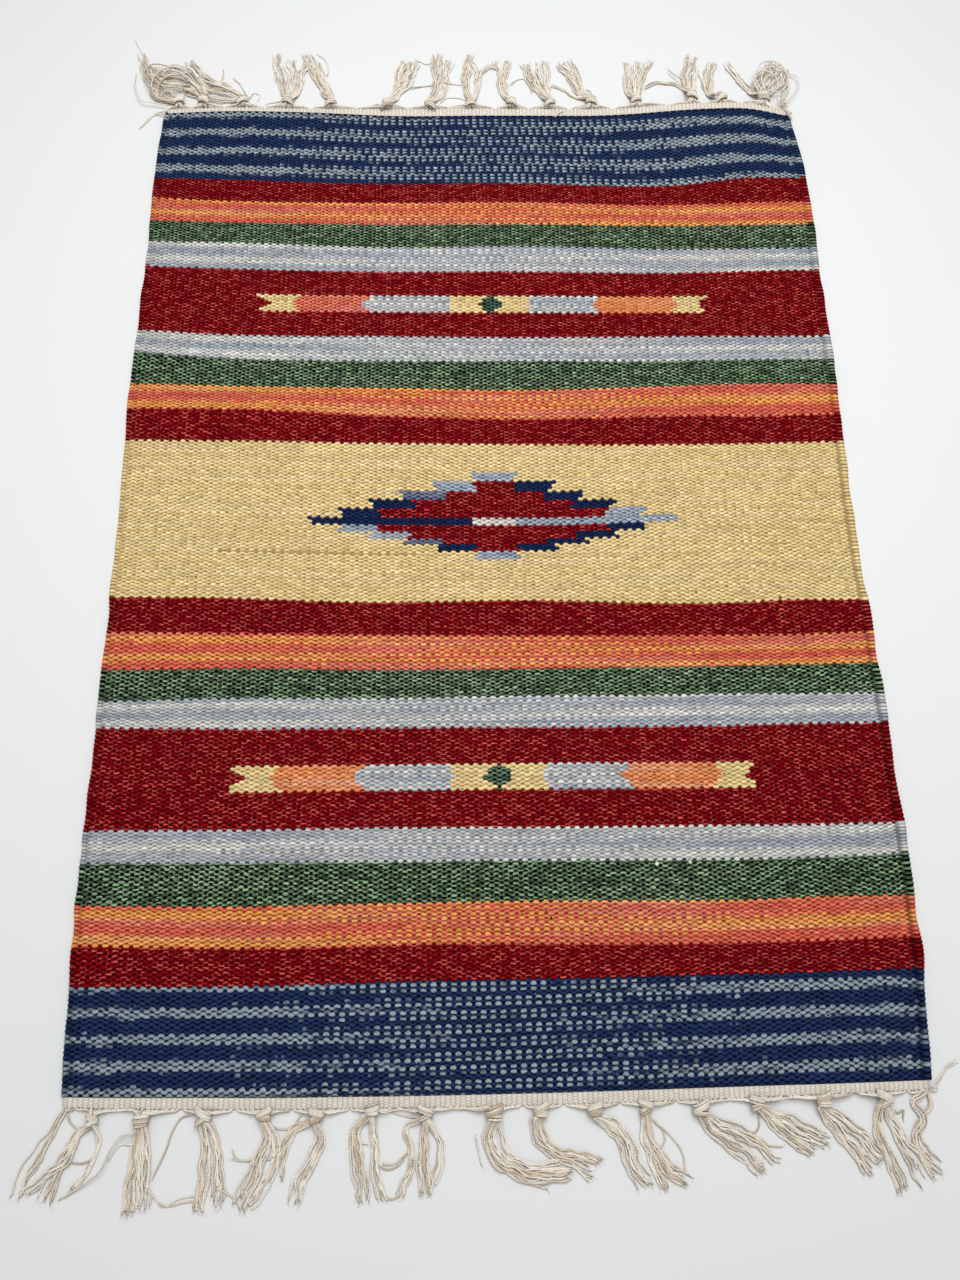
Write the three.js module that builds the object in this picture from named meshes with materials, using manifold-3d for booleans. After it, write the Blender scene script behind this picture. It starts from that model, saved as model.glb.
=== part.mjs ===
// A small flat-woven kilim rug, lying as it was laid down: a striped wool field with a
// selvedge along each side, a narrow cotton heading at each end, and the warp ends
// gathered into knotted tassels.
// Millimetres. X runs across the rug, +Y to its far end, +Z up from the surface it lies on.
// The origin is on the flat underside, at the middle of the woven cloth.

import * as THREE from 'three';
import { mergeVertices } from 'three/addons/utils/BufferGeometryUtils.js';
import Module from 'manifold-3d';

const wasm = await Module();
wasm.setup();

// Cloth
const FIELD_THICKNESS = 3.6;
const END_TOP = 2.6;
const END_INSET = 2.5;
const END_STATION = 425;
const EDGE_UNDERSIDE = 1.3;
const HEADING_THICKNESS = 2.6;
const HEADING_EDGE_TOP = 1.9;
const GAP = 0.7;
const FIELD_ROWS = 21;
const FIELD_COLUMNS = 13;
const HEADING_STEPS = 22;

// Where the two sides run, at stations along the rug
const SIDES = [
  { y: -425, left: -293, right: 291 },
  { y: -350, left: -297, right: 298 },
  { y: -250, left: -298.5, right: 300 },
  { y: -120, left: -299, right: 300 },
  { y: 0, left: -300, right: 298 },
  { y: 120, left: -303, right: 301 },
  { y: 250, left: -302, right: 302 },
  { y: 340, left: -303, right: 303 },
  { y: 400, left: -302, right: 299 },
  { y: 432, left: -300, right: 294 },
];

// Where the wool stops and where the cotton heading stops, at stations across each end
const FAR_END = [
  { x: -303, wool: 423, heading: 429 },
  { x: -240, wool: 427, heading: 433 },
  { x: -174, wool: 427, heading: 432.5 },
  { x: -79, wool: 424, heading: 434 },
  { x: 6, wool: 426, heading: 436 },
  { x: 112, wool: 429, heading: 439 },
  { x: 209, wool: 432, heading: 439.5 },
  { x: 259, wool: 432, heading: 439 },
  { x: 300, wool: 427, heading: 433 },
];
const NEAR_END = [
  { x: -300, wool: -419.5, heading: -426 },
  { x: -202, wool: -421.7, heading: -429 },
  { x: -10, wool: -423, heading: -430.5 },
  { x: 120, wool: -422, heading: -429.5 },
  { x: 234, wool: -420.5, heading: -427 },
  { x: 300, wool: -420, heading: -426 },
];

// Height of the selvedge's cord and groove, by distance in from the edge
const SELVEDGE = [
  { inset: 0, top: 2.3 },
  { inset: 1.5, top: 4.1 },
  { inset: 4.2, top: 4.8 },
  { inset: 6.9, top: 4.0 },
  { inset: 8.2, top: 2.8 },
  { inset: 10.5, top: 3.5 },
];
const LEFT_SELVEDGE_SCALE = 0.65;
const RIGHT_SELVEDGE_SCALE = 1;

// Places where the cloth stands off the surface in a soft wave
const LIFTS = [
  { x: 245, y: 434, spanLeft: 150, spanRight: 78, spanY: 115, height: 8.5 },
  { x: 220, y: -422, spanLeft: 85, spanRight: 75, spanY: 32, height: 3 },
];

// Tassels: where the knot sits, where the tips reach, and how they spread and sweep
const FAR_TASSELS = [
  { knotX: -287, knotY: 440, tipX: -328, tipY: 502, spread: 13, sweep: -4, knot: 1 },
  { knotX: -264, knotY: 439, tipX: -294, tipY: 489, spread: 14, sweep: -4, knot: 1 },
  { knotX: -227, knotY: 440, tipX: -256, tipY: 481, spread: 20, sweep: -6, knot: 1 },
  { knotX: -182, knotY: 440, tipX: -185, tipY: 499, spread: 25, sweep: 0, knot: 1.05 },
  { knotX: -141, knotY: 440, tipX: -159, tipY: 495, spread: 14, sweep: 3, knot: 1 },
  { knotX: -87, knotY: 441, tipX: -67, tipY: 497, spread: 17, sweep: -2, knot: 1.05 },
  { knotX: -48, knotY: 442, tipX: -36, tipY: 503, spread: 15, sweep: 2, knot: 1 },
  { knotX: -8, knotY: 443, tipX: -6, tipY: 503, spread: 15, sweep: 1, knot: 0.95 },
  { knotX: 29, knotY: 444, tipX: 20, tipY: 500, spread: 15, sweep: -3, knot: 1 },
  { knotX: 66, knotY: 445, tipX: 51, tipY: 494, spread: 18, sweep: 1, knot: 1 },
  { knotX: 108, knotY: 446, tipX: 85, tipY: 491, spread: 19, sweep: 2, knot: 1 },
  { knotX: 151, knotY: 447, tipX: 154, tipY: 498, spread: 24, sweep: -6, knot: 1 },
  { knotX: 203, knotY: 447, tipX: 204, tipY: 504, spread: 14, sweep: 1, knot: 1 },
  { knotX: 232, knotY: 446, tipX: 228, tipY: 503, spread: 15, sweep: -5, knot: 0.95 },
  { knotX: 271, knotY: 446, tipX: 276, tipY: 502, spread: 47, sweep: 2, knot: 1.15 },
];
const NEAR_TASSELS = [
  { knotX: -290, knotY: -432, tipX: -316, tipY: -481, spread: 13, sweep: 0, knot: 0 },
  { knotX: -270, knotY: -436, tipX: -295, tipY: -482, spread: 16, sweep: -3, knot: 0.95 },
  { knotX: -239, knotY: -437, tipX: -237, tipY: -491, spread: 17, sweep: 0, knot: 1 },
  { knotX: -199, knotY: -437, tipX: -191, tipY: -491, spread: 16, sweep: -3, knot: 1.05 },
  { knotX: -159, knotY: -438, tipX: -168, tipY: -491, spread: 16, sweep: -3, knot: 1 },
  { knotX: -122, knotY: -438, tipX: -133, tipY: -487, spread: 13, sweep: -4, knot: 1 },
  { knotX: -87, knotY: -438, tipX: -81, tipY: -490, spread: 17, sweep: 4, knot: 0.9 },
  { knotX: -50, knotY: -439, tipX: -54, tipY: -485, spread: 17, sweep: -2, knot: 1 },
  { knotX: -4, knotY: -439, tipX: 33, tipY: -479, spread: 13, sweep: 9, knot: 1.05 },
  { knotX: 23, knotY: -439, tipX: 60, tipY: -474, spread: 14, sweep: 7, knot: 1 },
  { knotX: 60, knotY: -437, tipX: 92, tipY: -480, spread: 14, sweep: 0, knot: 1 },
  { knotX: 96, knotY: -438, tipX: 116, tipY: -484, spread: 18, sweep: 3, knot: 0.95 },
  { knotX: 132, knotY: -437, tipX: 172, tipY: -474, spread: 14, sweep: -2, knot: 1 },
  { knotX: 170, knotY: -435, tipX: 208, tipY: -463, spread: 13, sweep: 2, knot: 1 },
  { knotX: 215, knotY: -435, tipX: 246, tipY: -475, spread: 14, sweep: 0, knot: 1 },
  { knotX: 259, knotY: -435, tipX: 267, tipY: -488, spread: 15, sweep: 2, knot: 1 },
  { knotX: 285, knotY: -432, tipX: 290, tipY: -481, spread: 15, sweep: 5, knot: 0 },
];
const STRANDS = 6;
const WIDE_STRANDS = 11;
const WIDE_SPREAD = 40;
const ROOT_SPREAD = 8;
const ROOT_WIDTH = 1.35;
const STRAND_WIDTH = 2.1;
const STRAND_HEIGHT = 1.5;
const STRAND_TIP_SHARE = 0.5;
const STRAND_STEPS = 4;
const STRAND_WAVE = 0.35;
const FLARE_END = 0.45;
const SHORT_STRAND_SHARE = 0.16;
const ROOT_HEIGHT_IN_KNOT = 2.4;
const ROOT_HEIGHT_LOOSE = 0.4;
const KNOT_LENGTH = 10;
const KNOT_WIDTH = 10.5;
const KNOT_HEIGHT = 8;
const KNOT_CENTRE_SHARE = 0.42;
const KNOT_TURN_SWELL = 0.13;
const KNOT_TURN_SLANT = 3.2;
const KNOT_LIFT_SHARE = 0.6;
const NECK_ROOT = 17;
const NECK_TIP = 7;
const NECK_HEIGHT = 2;
const NECK_ROOT_HEIGHT = 1.6;
const LOOSE_ROOT = 11;
const LOOSE_LENGTH = 4;

// A stray warp end that turns back past the near right corner
const STRAY = { startX: 287, startY: -431, tipX: 309, tipY: -412, sweep: 9 };

const WOOL = new THREE.MeshStandardMaterial({ color: 0x86262c, roughness: 0.95 });
const COTTON = new THREE.MeshStandardMaterial({ color: 0xe1d6c4, roughness: 0.95 });

const rug = new THREE.Group();

// The value of a column at a place between two rows of a table
function readTable(table, key, column, at) {
  let row = 1;
  while (row < table.length - 1 && table[row][key] < at) row += 1;
  const before = table[row - 1];
  const after = table[row];
  const share = (at - before[key]) / (after[key] - before[key]);
  return THREE.MathUtils.lerp(before[column], after[column], THREE.MathUtils.clamp(share, 0, 1));
}

// A smooth hump that is 1 at its middle and 0 at its span
function hump(distance, span) {
  const share = Math.min(Math.abs(distance) / span, 1);
  return (1 + Math.cos(Math.PI * share)) / 2;
}

function liftAt(x, y) {
  let height = 0;
  for (const lift of LIFTS) {
    const spanX = x < lift.x ? lift.spanLeft : lift.spanRight;
    height += lift.height * hump(x - lift.x, spanX) * hump(y - lift.y, lift.spanY);
  }
  return height;
}

// A repeatable scatter from 0 to 1
function scatter(seed) {
  const value = Math.sin(seed * 12.9898 + 4.1) * 43758.5453;
  return value - Math.floor(value);
}

// A closed solid through rings of equal point count, its ends closed by a zip of triangles
function loft(rings) {
  const count = rings[0].length;
  const positions = rings.flat().flatMap((point) => point.toArray());
  const faces = [];
  for (let ring = 0; ring < rings.length - 1; ring += 1) {
    for (let i = 0; i < count; i += 1) {
      const next = (i + 1) % count;
      const a = ring * count + i;
      const b = ring * count + next;
      faces.push(a, b, b + count, a, b + count, a + count);
    }
  }
  const last = (rings.length - 1) * count;
  let low = 0;
  let high = count - 1;
  while (low < high) {
    if (high - low > 1) {
      faces.push(low, high, low + 1, last + low, last + low + 1, last + high);
    }
    if (high - low > 2) {
      faces.push(low + 1, high, high - 1, last + low + 1, last + high - 1, last + high);
    }
    low += 1;
    high -= 1;
  }
  return closedGeometry(positions, faces);
}

// The same faces turned outwards if the solid came out inside out
function closedGeometry(positions, faces) {
  let volume = 0;
  const corner = (index) => new THREE.Vector3().fromArray(positions, index * 3);
  for (let i = 0; i < faces.length; i += 3) {
    volume += corner(faces[i]).dot(corner(faces[i + 1]).cross(corner(faces[i + 2])));
  }
  const geometry = new THREE.BufferGeometry();
  geometry.setAttribute('position', new THREE.Float32BufferAttribute(positions, 3));
  geometry.setIndex(volume < 0 ? faces.reverse() : faces);
  return geometry;
}

function toSolid(geometry) {
  const bare = geometry.clone();
  bare.deleteAttribute('normal');
  bare.deleteAttribute('uv');
  const merged = mergeVertices(bare, 1e-4);
  const mesh = new wasm.Mesh({
    numProp: 3,
    vertProperties: new Float32Array(merged.attributes.position.array),
    triVerts: new Uint32Array(merged.index.array),
  });
  return new wasm.Manifold(mesh);
}

function fuse(geometries) {
  const joined = geometries.map(toSolid).reduce((all, one) => all.add(one));
  const mesh = joined.getMesh();
  const geometry = new THREE.BufferGeometry();
  geometry.setAttribute('position', new THREE.BufferAttribute(mesh.vertProperties, 3));
  geometry.setIndex(new THREE.BufferAttribute(mesh.triVerts, 1));
  return geometry;
}

function addPiece(name, geometry, material) {
  const piece = new THREE.Mesh(geometry, material);
  piece.name = name;
  rug.add(piece);
}

// Columns across the field: both selvedges and an even stretch between them
function fieldColumns(left, right) {
  const leftSide = SELVEDGE.map((s) => ({ x: left + s.inset * LEFT_SELVEDGE_SCALE, top: s.top }));
  const rightSide = SELVEDGE.map((s) => ({ x: right - s.inset * RIGHT_SELVEDGE_SCALE, top: s.top }));
  const from = leftSide[leftSide.length - 1].x;
  const to = rightSide[rightSide.length - 1].x;
  const middle = [];
  for (let i = 1; i < FIELD_COLUMNS; i += 1) {
    middle.push({ x: THREE.MathUtils.lerp(from, to, i / FIELD_COLUMNS), top: FIELD_THICKNESS });
  }
  return [...leftSide, ...middle, ...rightSide.reverse()];
}

// The field is a loft of its cross-sections, from the near end to the far end
function field() {
  const nearY = NEAR_END[0].wool;
  const length = FAR_END[0].wool - nearY;
  const shares = [0, END_INSET / length];
  for (let row = 1; row < FIELD_ROWS; row += 1) shares.push(row / FIELD_ROWS);
  shares.push(1 - END_INSET / length, 1);
  const rings = shares.map((share) => {
    const station = nearY + share * length;
    const left = readTable(SIDES, 'y', 'left', station);
    const right = readTable(SIDES, 'y', 'right', station);
    const atEnd = share === 0 || share === 1;
    const top = [];
    const under = [];
    const columns = fieldColumns(left, right);
    columns.forEach(({ x, top: height }, index) => {
      const atEdge = index === 0 || index === columns.length - 1;
      const near = readTable(NEAR_END, 'x', 'wool', x);
      const far = readTable(FAR_END, 'x', 'wool', x);
      const y = THREE.MathUtils.lerp(near, far, share);
      const lift = liftAt(x, y);
      const upper = atEnd ? Math.min(height, END_TOP) : height;
      top.push(new THREE.Vector3(x, y, lift + upper));
      under.push(new THREE.Vector3(x, y, lift + (atEdge ? EDGE_UNDERSIDE : 0)));
    });
    return [...top, ...under.reverse()];
  });
  return loft(rings);
}

// A heading is the narrow cotton band between the wool and the tassels
function heading(end, outward) {
  const first = readTable(SIDES, 'y', 'left', outward * END_STATION) + 1;
  const last = readTable(SIDES, 'y', 'right', outward * END_STATION) - 1;
  const rings = [];
  for (let step = 0; step <= HEADING_STEPS; step += 1) {
    const x = THREE.MathUtils.lerp(first, last, step / HEADING_STEPS);
    const inner = readTable(end, 'x', 'wool', x) + outward * GAP;
    const outer = readTable(end, 'x', 'heading', x);
    const lift = liftAt(x, inner);
    rings.push([
      new THREE.Vector3(x, inner, lift),
      new THREE.Vector3(x, inner, lift + HEADING_THICKNESS),
      new THREE.Vector3(x, outer, lift + HEADING_EDGE_TOP),
      new THREE.Vector3(x, outer, lift),
    ]);
  }
  return loft(rings);
}

// The warps that draw together from the heading's edge to the knot
function neck(end, outward, tassel, rootWidth, lift) {
  const rings = [];
  for (const side of [-1, 0, 1]) {
    const rootX = tassel.knotX + (side * rootWidth) / 2;
    const tipX = tassel.knotX + (side * NECK_TIP) / 2;
    const rootY = readTable(end, 'x', 'heading', rootX) + outward * GAP;
    const tipY = tassel.knot ? tassel.knotY : tassel.knotY + outward * LOOSE_LENGTH;
    rings.push([
      new THREE.Vector3(rootX, rootY, lift),
      new THREE.Vector3(rootX, rootY, lift + NECK_ROOT_HEIGHT),
      new THREE.Vector3(tipX, tipY, lift + NECK_HEIGHT),
      new THREE.Vector3(tipX, tipY, lift),
    ]);
  }
  return loft(rings);
}

// An overhand knot: a squat lump with a slanting turn of yarn round it, flat underneath
function knot(tassel, direction, lift) {
  const lump = new THREE.SphereGeometry(1, 7, 5);
  const points = lump.attributes.position;
  const along = new THREE.Vector3();
  for (let i = 0; i < points.count; i += 1) {
    along.fromBufferAttribute(points, i);
    const around = Math.atan2(along.z, along.x);
    const turn = Math.cos(around + KNOT_TURN_SLANT * along.y);
    const swell = 1 + KNOT_TURN_SWELL * turn * (1 - along.y * along.y);
    along.multiplyScalar(swell);
    along.x *= (KNOT_WIDTH / 2) * tassel.knot;
    along.y *= (KNOT_LENGTH / 2) * tassel.knot;
    along.z *= (KNOT_HEIGHT / 2) * tassel.knot;
    along.z = Math.max(along.z + KNOT_HEIGHT * KNOT_CENTRE_SHARE, 0);
    points.setXYZ(i, along.x, along.y, along.z);
  }
  lump.rotateZ(direction - Math.PI / 2);
  lump.translate(tassel.knotX, tassel.knotY, lift);
  return lump;
}

// One strand, a three-sided lock that drops from the knot and lies level on the floor
function strand(route, startHeight, seed) {
  const rings = [];
  for (let step = 0; step <= STRAND_STEPS; step += 1) {
    const share = step / STRAND_STEPS;
    const here = route(share);
    const ahead = route(share + 0.01).sub(route(share - 0.01));
    const across = new THREE.Vector3(-ahead.y, ahead.x, 0).normalize();
    const size = THREE.MathUtils.lerp(1, STRAND_TIP_SHARE, share ** 3);
    const low = step === 0 ? startHeight : 0;
    const width = step === 0 ? ROOT_WIDTH : STRAND_WIDTH * (0.9 + 0.2 * scatter(seed));
    const half = (width / 2) * size;
    rings.push([
      here.clone().addScaledVector(across, half).setZ(low),
      here.clone().setZ(low + STRAND_HEIGHT * size),
      here.clone().addScaledVector(across, -half).setZ(low),
    ]);
  }
  return loft(rings);
}

// A tassel is its neck, its knot and its strands, fused at the roots
function tassel(end, outward, row, index) {
  const lift = KNOT_LIFT_SHARE * liftAt(row.knotX, readTable(end, 'x', 'wool', row.knotX));
  const from = new THREE.Vector3(row.knotX, row.knotY, 0);
  const to = new THREE.Vector3(row.tipX, row.tipY, 0);
  const run = to.clone().sub(from);
  const across = new THREE.Vector3(-run.y, run.x, 0).normalize();
  const direction = Math.atan2(run.y, run.x);
  const count = row.spread > WIDE_SPREAD ? WIDE_STRANDS : STRANDS;
  const parts = [neck(end, outward, row, row.knot ? NECK_ROOT : LOOSE_ROOT, lift)];
  if (row.knot) parts.push(knot(row, direction, lift));
  for (let i = 0; i < count; i += 1) {
    const seed = index * 17 + i * 3 + (outward > 0 ? 0.5 : 0);
    const place = i / (count - 1) - 0.5;
    const reach = 1 - SHORT_STRAND_SHARE * scatter(seed) * (i % 2);
    const route = (share) => {
      const s = share * reach;
      const flare = THREE.MathUtils.smoothstep(s, 0, FLARE_END);
      const wave = STRAND_WAVE * flare * Math.sin(2 * Math.PI * s + seed);
      const spread = THREE.MathUtils.lerp(ROOT_SPREAD, row.spread, flare);
      const sideways = place * spread + row.sweep * Math.sin(Math.PI * s) + wave;
      return from.clone().addScaledVector(run, s).addScaledVector(across, sideways);
    };
    parts.push(strand(route, lift + (row.knot ? ROOT_HEIGHT_IN_KNOT : ROOT_HEIGHT_LOOSE), seed));
  }
  return fuse(parts);
}

function strayEnd() {
  const from = new THREE.Vector3(STRAY.startX, STRAY.startY, 0);
  const run = new THREE.Vector3(STRAY.tipX, STRAY.tipY, 0).sub(from);
  const across = new THREE.Vector3(-run.y, run.x, 0).normalize();
  const route = (share) => from.clone()
    .addScaledVector(run, share)
    .addScaledVector(across, -STRAY.sweep * Math.sin(Math.PI * share));
  return strand(route, 0, 1);
}

addPiece('field', field(), WOOL);
addPiece('heading_far', heading(FAR_END, 1), COTTON);
addPiece('heading_near', heading(NEAR_END, -1), COTTON);
FAR_TASSELS.forEach((row, index) => {
  const name = `tassel_far_${String(index + 1).padStart(2, '0')}`;
  addPiece(name, tassel(FAR_END, 1, row, index), COTTON);
});
NEAR_TASSELS.forEach((row, index) => {
  const name = `tassel_near_${String(index + 1).padStart(2, '0')}`;
  const body = tassel(NEAR_END, -1, row, index);
  const isLast = index === NEAR_TASSELS.length - 1;
  addPiece(name, isLast ? fuse([body, strayEnd()]) : body, COTTON);
});

export default rug;
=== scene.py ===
# The looks of a small flat-woven kilim rug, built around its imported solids.
#
# The wool field is laid out as it was woven: warps across, weft picks from the far end to the
# near end. Every mesh keeps its place on the loom in a UV map, in warps and picks, and the
# materials work out each bead of weft from that. Tables are in millimetres.

import math

import bpy
import numpy as np
from mathutils import Matrix, Vector


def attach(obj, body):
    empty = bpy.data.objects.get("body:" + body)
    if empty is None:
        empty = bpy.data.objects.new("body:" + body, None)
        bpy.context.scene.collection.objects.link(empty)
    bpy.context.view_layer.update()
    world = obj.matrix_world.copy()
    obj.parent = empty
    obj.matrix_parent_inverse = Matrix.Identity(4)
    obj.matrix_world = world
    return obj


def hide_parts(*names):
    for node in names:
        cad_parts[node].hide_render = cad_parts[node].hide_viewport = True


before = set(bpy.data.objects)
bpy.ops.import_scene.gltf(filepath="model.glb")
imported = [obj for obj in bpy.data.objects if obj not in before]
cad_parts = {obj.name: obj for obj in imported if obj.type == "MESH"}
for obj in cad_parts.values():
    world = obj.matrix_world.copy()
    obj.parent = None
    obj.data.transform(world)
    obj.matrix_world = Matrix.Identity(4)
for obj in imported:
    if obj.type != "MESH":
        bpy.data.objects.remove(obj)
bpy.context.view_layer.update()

MM = 0.001
BODY = "root"
SEED = 7
LOOM_MAP = "Loom"

# Where the two sides run, at stations along the rug: y, left, right
SIDES = [
    (-425, -293, 291),
    (-350, -297, 298),
    (-250, -298.5, 300),
    (-120, -299, 300),
    (0, -300, 298),
    (120, -303, 301),
    (250, -302, 302),
    (340, -303, 303),
    (400, -302, 299),
    (432, -300, 294),
]
# Where the wool stops and where the cotton heading stops, across each end: x, wool, heading
FAR_END = [
    (-303, 423, 429),
    (-240, 427, 433),
    (-174, 427, 432.5),
    (-79, 424, 434),
    (6, 426, 436),
    (112, 427.6, 437),
    (209, 429.8, 438.5),
    (259, 430.2, 438),
    (300, 427.6, 434),
]
NEAR_END = [
    (-300, -419.5, -426),
    (-202, -421.7, -429),
    (-10, -423, -430.5),
    (120, -422, -429.5),
    (234, -420.5, -427),
    (300, -420, -426),
]
# Soft waves that stand off the floor: x, y, span to the left, to the right, along, height
LIFTS = [
    (245, 434, 150, 78, 115, 8.5),
    (220, -422, 85, 75, 32, 3),
]

# The loom
WARPS = 170
LEFT_CORD = 4.4
RIGHT_CORD = 6.8
CLOTH_TOP = 3.3
END_TOP = 2.4
BEAD_RELIEF = 0.42
CORD_PROFILE_AT = (0, 0.12, 0.3, 0.5, 0.7, 0.88, 1)
CORD_PROFILE = (2.0, 3.4, 4.35, 4.7, 4.4, 3.5, 2.5)

# Each stripe from the far end: yarn, picks, the pick where the second tone is centred at the
# left edge, how fast that centre drifts, and where its near edge runs at the stations
STATIONS = (0, 0.15, 0.35, 0.55, 0.8, 0.92, 1)
STRIPES = [
    ("faded", 45, 2, 0.165, (346, 344, 342, 344, 343, 352.5, 354)),
    ("red", 15, 0, 0.2, (323, 320, 321, 324, 321, 325, 327)),
    ("orange", 15, 1, 0.22, (298, 296, 296, 298, 298, 300, 301)),
    ("green", 16, 0, 0.2, (275, 273, 270, 273, 271, 273, 274)),
    ("sky", 17, 2, 0.2, (248, 245, 243, 245, 245, 248, 250)),
    ("red", 43, 0, 0.2, (181, 176, 175, 175, 177, 178, 179)),
    ("sky", 15, 3, 0.22, (159, 152, 150, 151, 152, 154, 155)),
    ("green", 16, 0, 0.2, (127, 125, 123, 122, 128, 130, 130)),
    ("orange", 17, 3, 0.17, (103, 103, 96, 93, 98, 98, 100)),
    ("red", 16, 0, 0.2, (73, 72, 71, 70, 70, 71, 73)),
    ("cream", 44, 0, 0.2, (2, 1, -1, -1, 4, 3, 1)),
    ("cream", 45, 0, 0.2, (-66, -67, -71, -70, -73, -70, -70)),
    ("red", 17, 0, 0.2, (-95, -96, -98, -99, -100, -99, -97)),
    ("orange", 17, 2, 0.24, (-125.5, -124, -126, -125, -125, -124.5, -123)),
    ("green", 14, 0, 0.2, (-150, -148, -149, -147, -148, -148, -147)),
    ("sky", 17, 3, 0.2, (-170, -172, -172, -172, -172, -170, -170)),
    ("red", 46, 0, 0.2, (-246, -247, -246, -247, -247, -247, -246)),
    ("sky", 18, 8, 0.15, (-268.5, -270, -270, -270, -272, -270, -268)),
    ("green", 17, 0, 0.2, (-298, -300, -299, -298, -300, -298, -298)),
    ("orange", 19, 4, 0.16, (-325, -328, -328, -328, -329, -328, -326.5)),
    ("red", 15, 0, 0.2, (-352, -353, -352, -351, -350, -349, -348)),
    ("navy", 41, 10, 0.2, None),
]
PICKS = sum(stripe[1] for stripe in STRIPES)

# Yarns: main tone, second tone, painted shade between beads; share dyed in the second tone, softness
# of the change, streaks of the second tone; how much a painted highlight brightens the bead's crown,
# how wide the shaded gaps are, how pale the fibre on the crown is, which is partly painted highlight
YARNS = {
    "navy": ((29, 43, 77), (126, 138, 148), (5, 9, 22), 0.35, 0.10, 0.0, 0.7, 1.3, 0.0),
    "faded": ((31, 46, 79), (132, 142, 150), (6, 11, 24), 0.38, 0.10, 0.0, 0.7, 1.3, 0.0),
    "red": ((104, 4, 13), (188, 80, 70), (40, 0, 4), 0.0, 0.1, 0.46, 0.9, 1.1, 0.0),
    "orange": ((202, 86, 70), (222, 148, 74), (112, 38, 24), 0.40, 0.16, 0.25, 0.4, 1.1, 0.04),
    "green": ((97, 122, 90), (6, 22, 18), (1, 7, 5), 0.0, 0.1, 0.66, 1.6, 2.6, 0.02),
    "sky": ((149, 156, 167), (207, 206, 198), (84, 90, 98), 0.34, 0.3, 0.20, 0.3, 0.9, 0.10),
    "cream": ((221, 196, 137), (198, 158, 94), (142, 115, 68), 0.0, 0.3, 0.24, 0.3, 1.1, 0.07),
    "ink": ((22, 36, 70), (54, 70, 104), (4, 8, 22), 0.0, 0.1, 0.15, 0.5, 1.1, 0.0),
    "silver": ((140, 152, 168), (182, 188, 190), (70, 80, 96), 0.0, 0.1, 0.30, 0.3, 1.1, 0.1),
    "steel": ((70, 84, 116), (116, 130, 152), (22, 30, 54), 0.0, 0.1, 0.30, 0.5, 1.1, 0.05),
    "white": ((206, 200, 192), (190, 188, 188), (128, 122, 118), 0.0, 0.1, 0.3, 0.3, 1.0, 0.1),
    "leaf": ((52, 88, 66), (10, 34, 26), (2, 12, 8), 0.0, 0.1, 0.6, 0.8, 2.0, 0.05),
    "amber": ((222, 138, 76), (200, 84, 74), (132, 62, 34), 0.0, 0.1, 0.62, 0.3, 1.1, 0.10),
    "coral": ((200, 84, 76), (230, 146, 84), (122, 42, 30), 0.0, 0.1, 0.70, 0.3, 1.1, 0.06),
}
YARN_NAMES = list(YARNS)

# The medallion, row by row from the far side, in millimetres from its middle: far edge, near
# edge, left yarn, left inner far and near, left outer far and near, then the same on the right
MEDALLION_CENTRE = (1, 0.5)
MEDALLION = [
    (43.5, 35.6, "silver", 0, 0, 18, 13, "silver", 0, 0, 21, 15, "red"),
    (35.6, 25.6, "silver", 17, 13, 52, 45, "ink", 19, 15, 53, 46, "red"),
    (25.6, 17.2, "steel", 40, 36, 78, 70, "ink", 44, 40, 77, 70, "red"),
    (17.2, 9.0, "ink", 65, 61, 101, 94, "ink", 67, 63, 102, 95, "red"),
    (9.0, 1.2, "ink", 94, 90, 125, 118, "silver", 94, 88, 126, 120, "red"),
    (1.2, -4.6, "ink", 17, 17, 150, 147, "silver", 17, 17, 149, 149, "white"),
    (-4.6, -11.8, "silver", 92, 94, 120, 126, "ink", 92, 94, 120, 126, "red"),
    (-11.8, -17.6, "silver", 66, 68, 97, 101, "ink", 66, 68, 96, 102, "red"),
    (-17.6, -23.4, "steel", 38, 42, 68, 76, "ink", 41, 44, 70, 78, "red"),
    (-23.4, -29.0, "ink", 14, 17, 42, 49, "ink", 17, 20, 48, 54, "red"),
    (-29.0, -38.0, "silver", 0, 0, 12, 18, "silver", 0, 0, 16, 23, "red"),
]
# The two bars of small motifs: where each yarn starts and how far that edge bulges to the
# right at the bar's middle
FAR_BAR = {
    "far": 219,
    "near": 200,
    "leaf": (2.4, 11.5),
    "parts": [
        (-203, 14, "cream"),
        (-164, -7, "coral"),
        (-102, -9, "sky"),
        (-36, 4, "cream"),
        (39, -4, "sky"),
        (101, -7, "amber"),
        (163, 5, "cream"),
        (196, -10, "red"),
    ],
}
NEAR_BAR = {
    "far": -199,
    "near": -218.6,
    "leaf": (1.2, 12),
    "parts": [
        (-200, 13, "cream"),
        (-158, -11, "amber"),
        (-97, -11, "sky"),
        (-36, 3, "cream"),
        (39, -6, "sky"),
        (101, -9, "amber"),
        (161, 6, "cream"),
        (195, -10, "red"),
    ],
}

# Cotton heading
HEADING_PICKS = 4
HEADING_GAP = 0.35
HEADING_INSET = 0.35
HEADING_TOP = 2.5
HEADING_OUTER_TOP = 1.7
HEADING_RELIEF = 0.5

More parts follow.
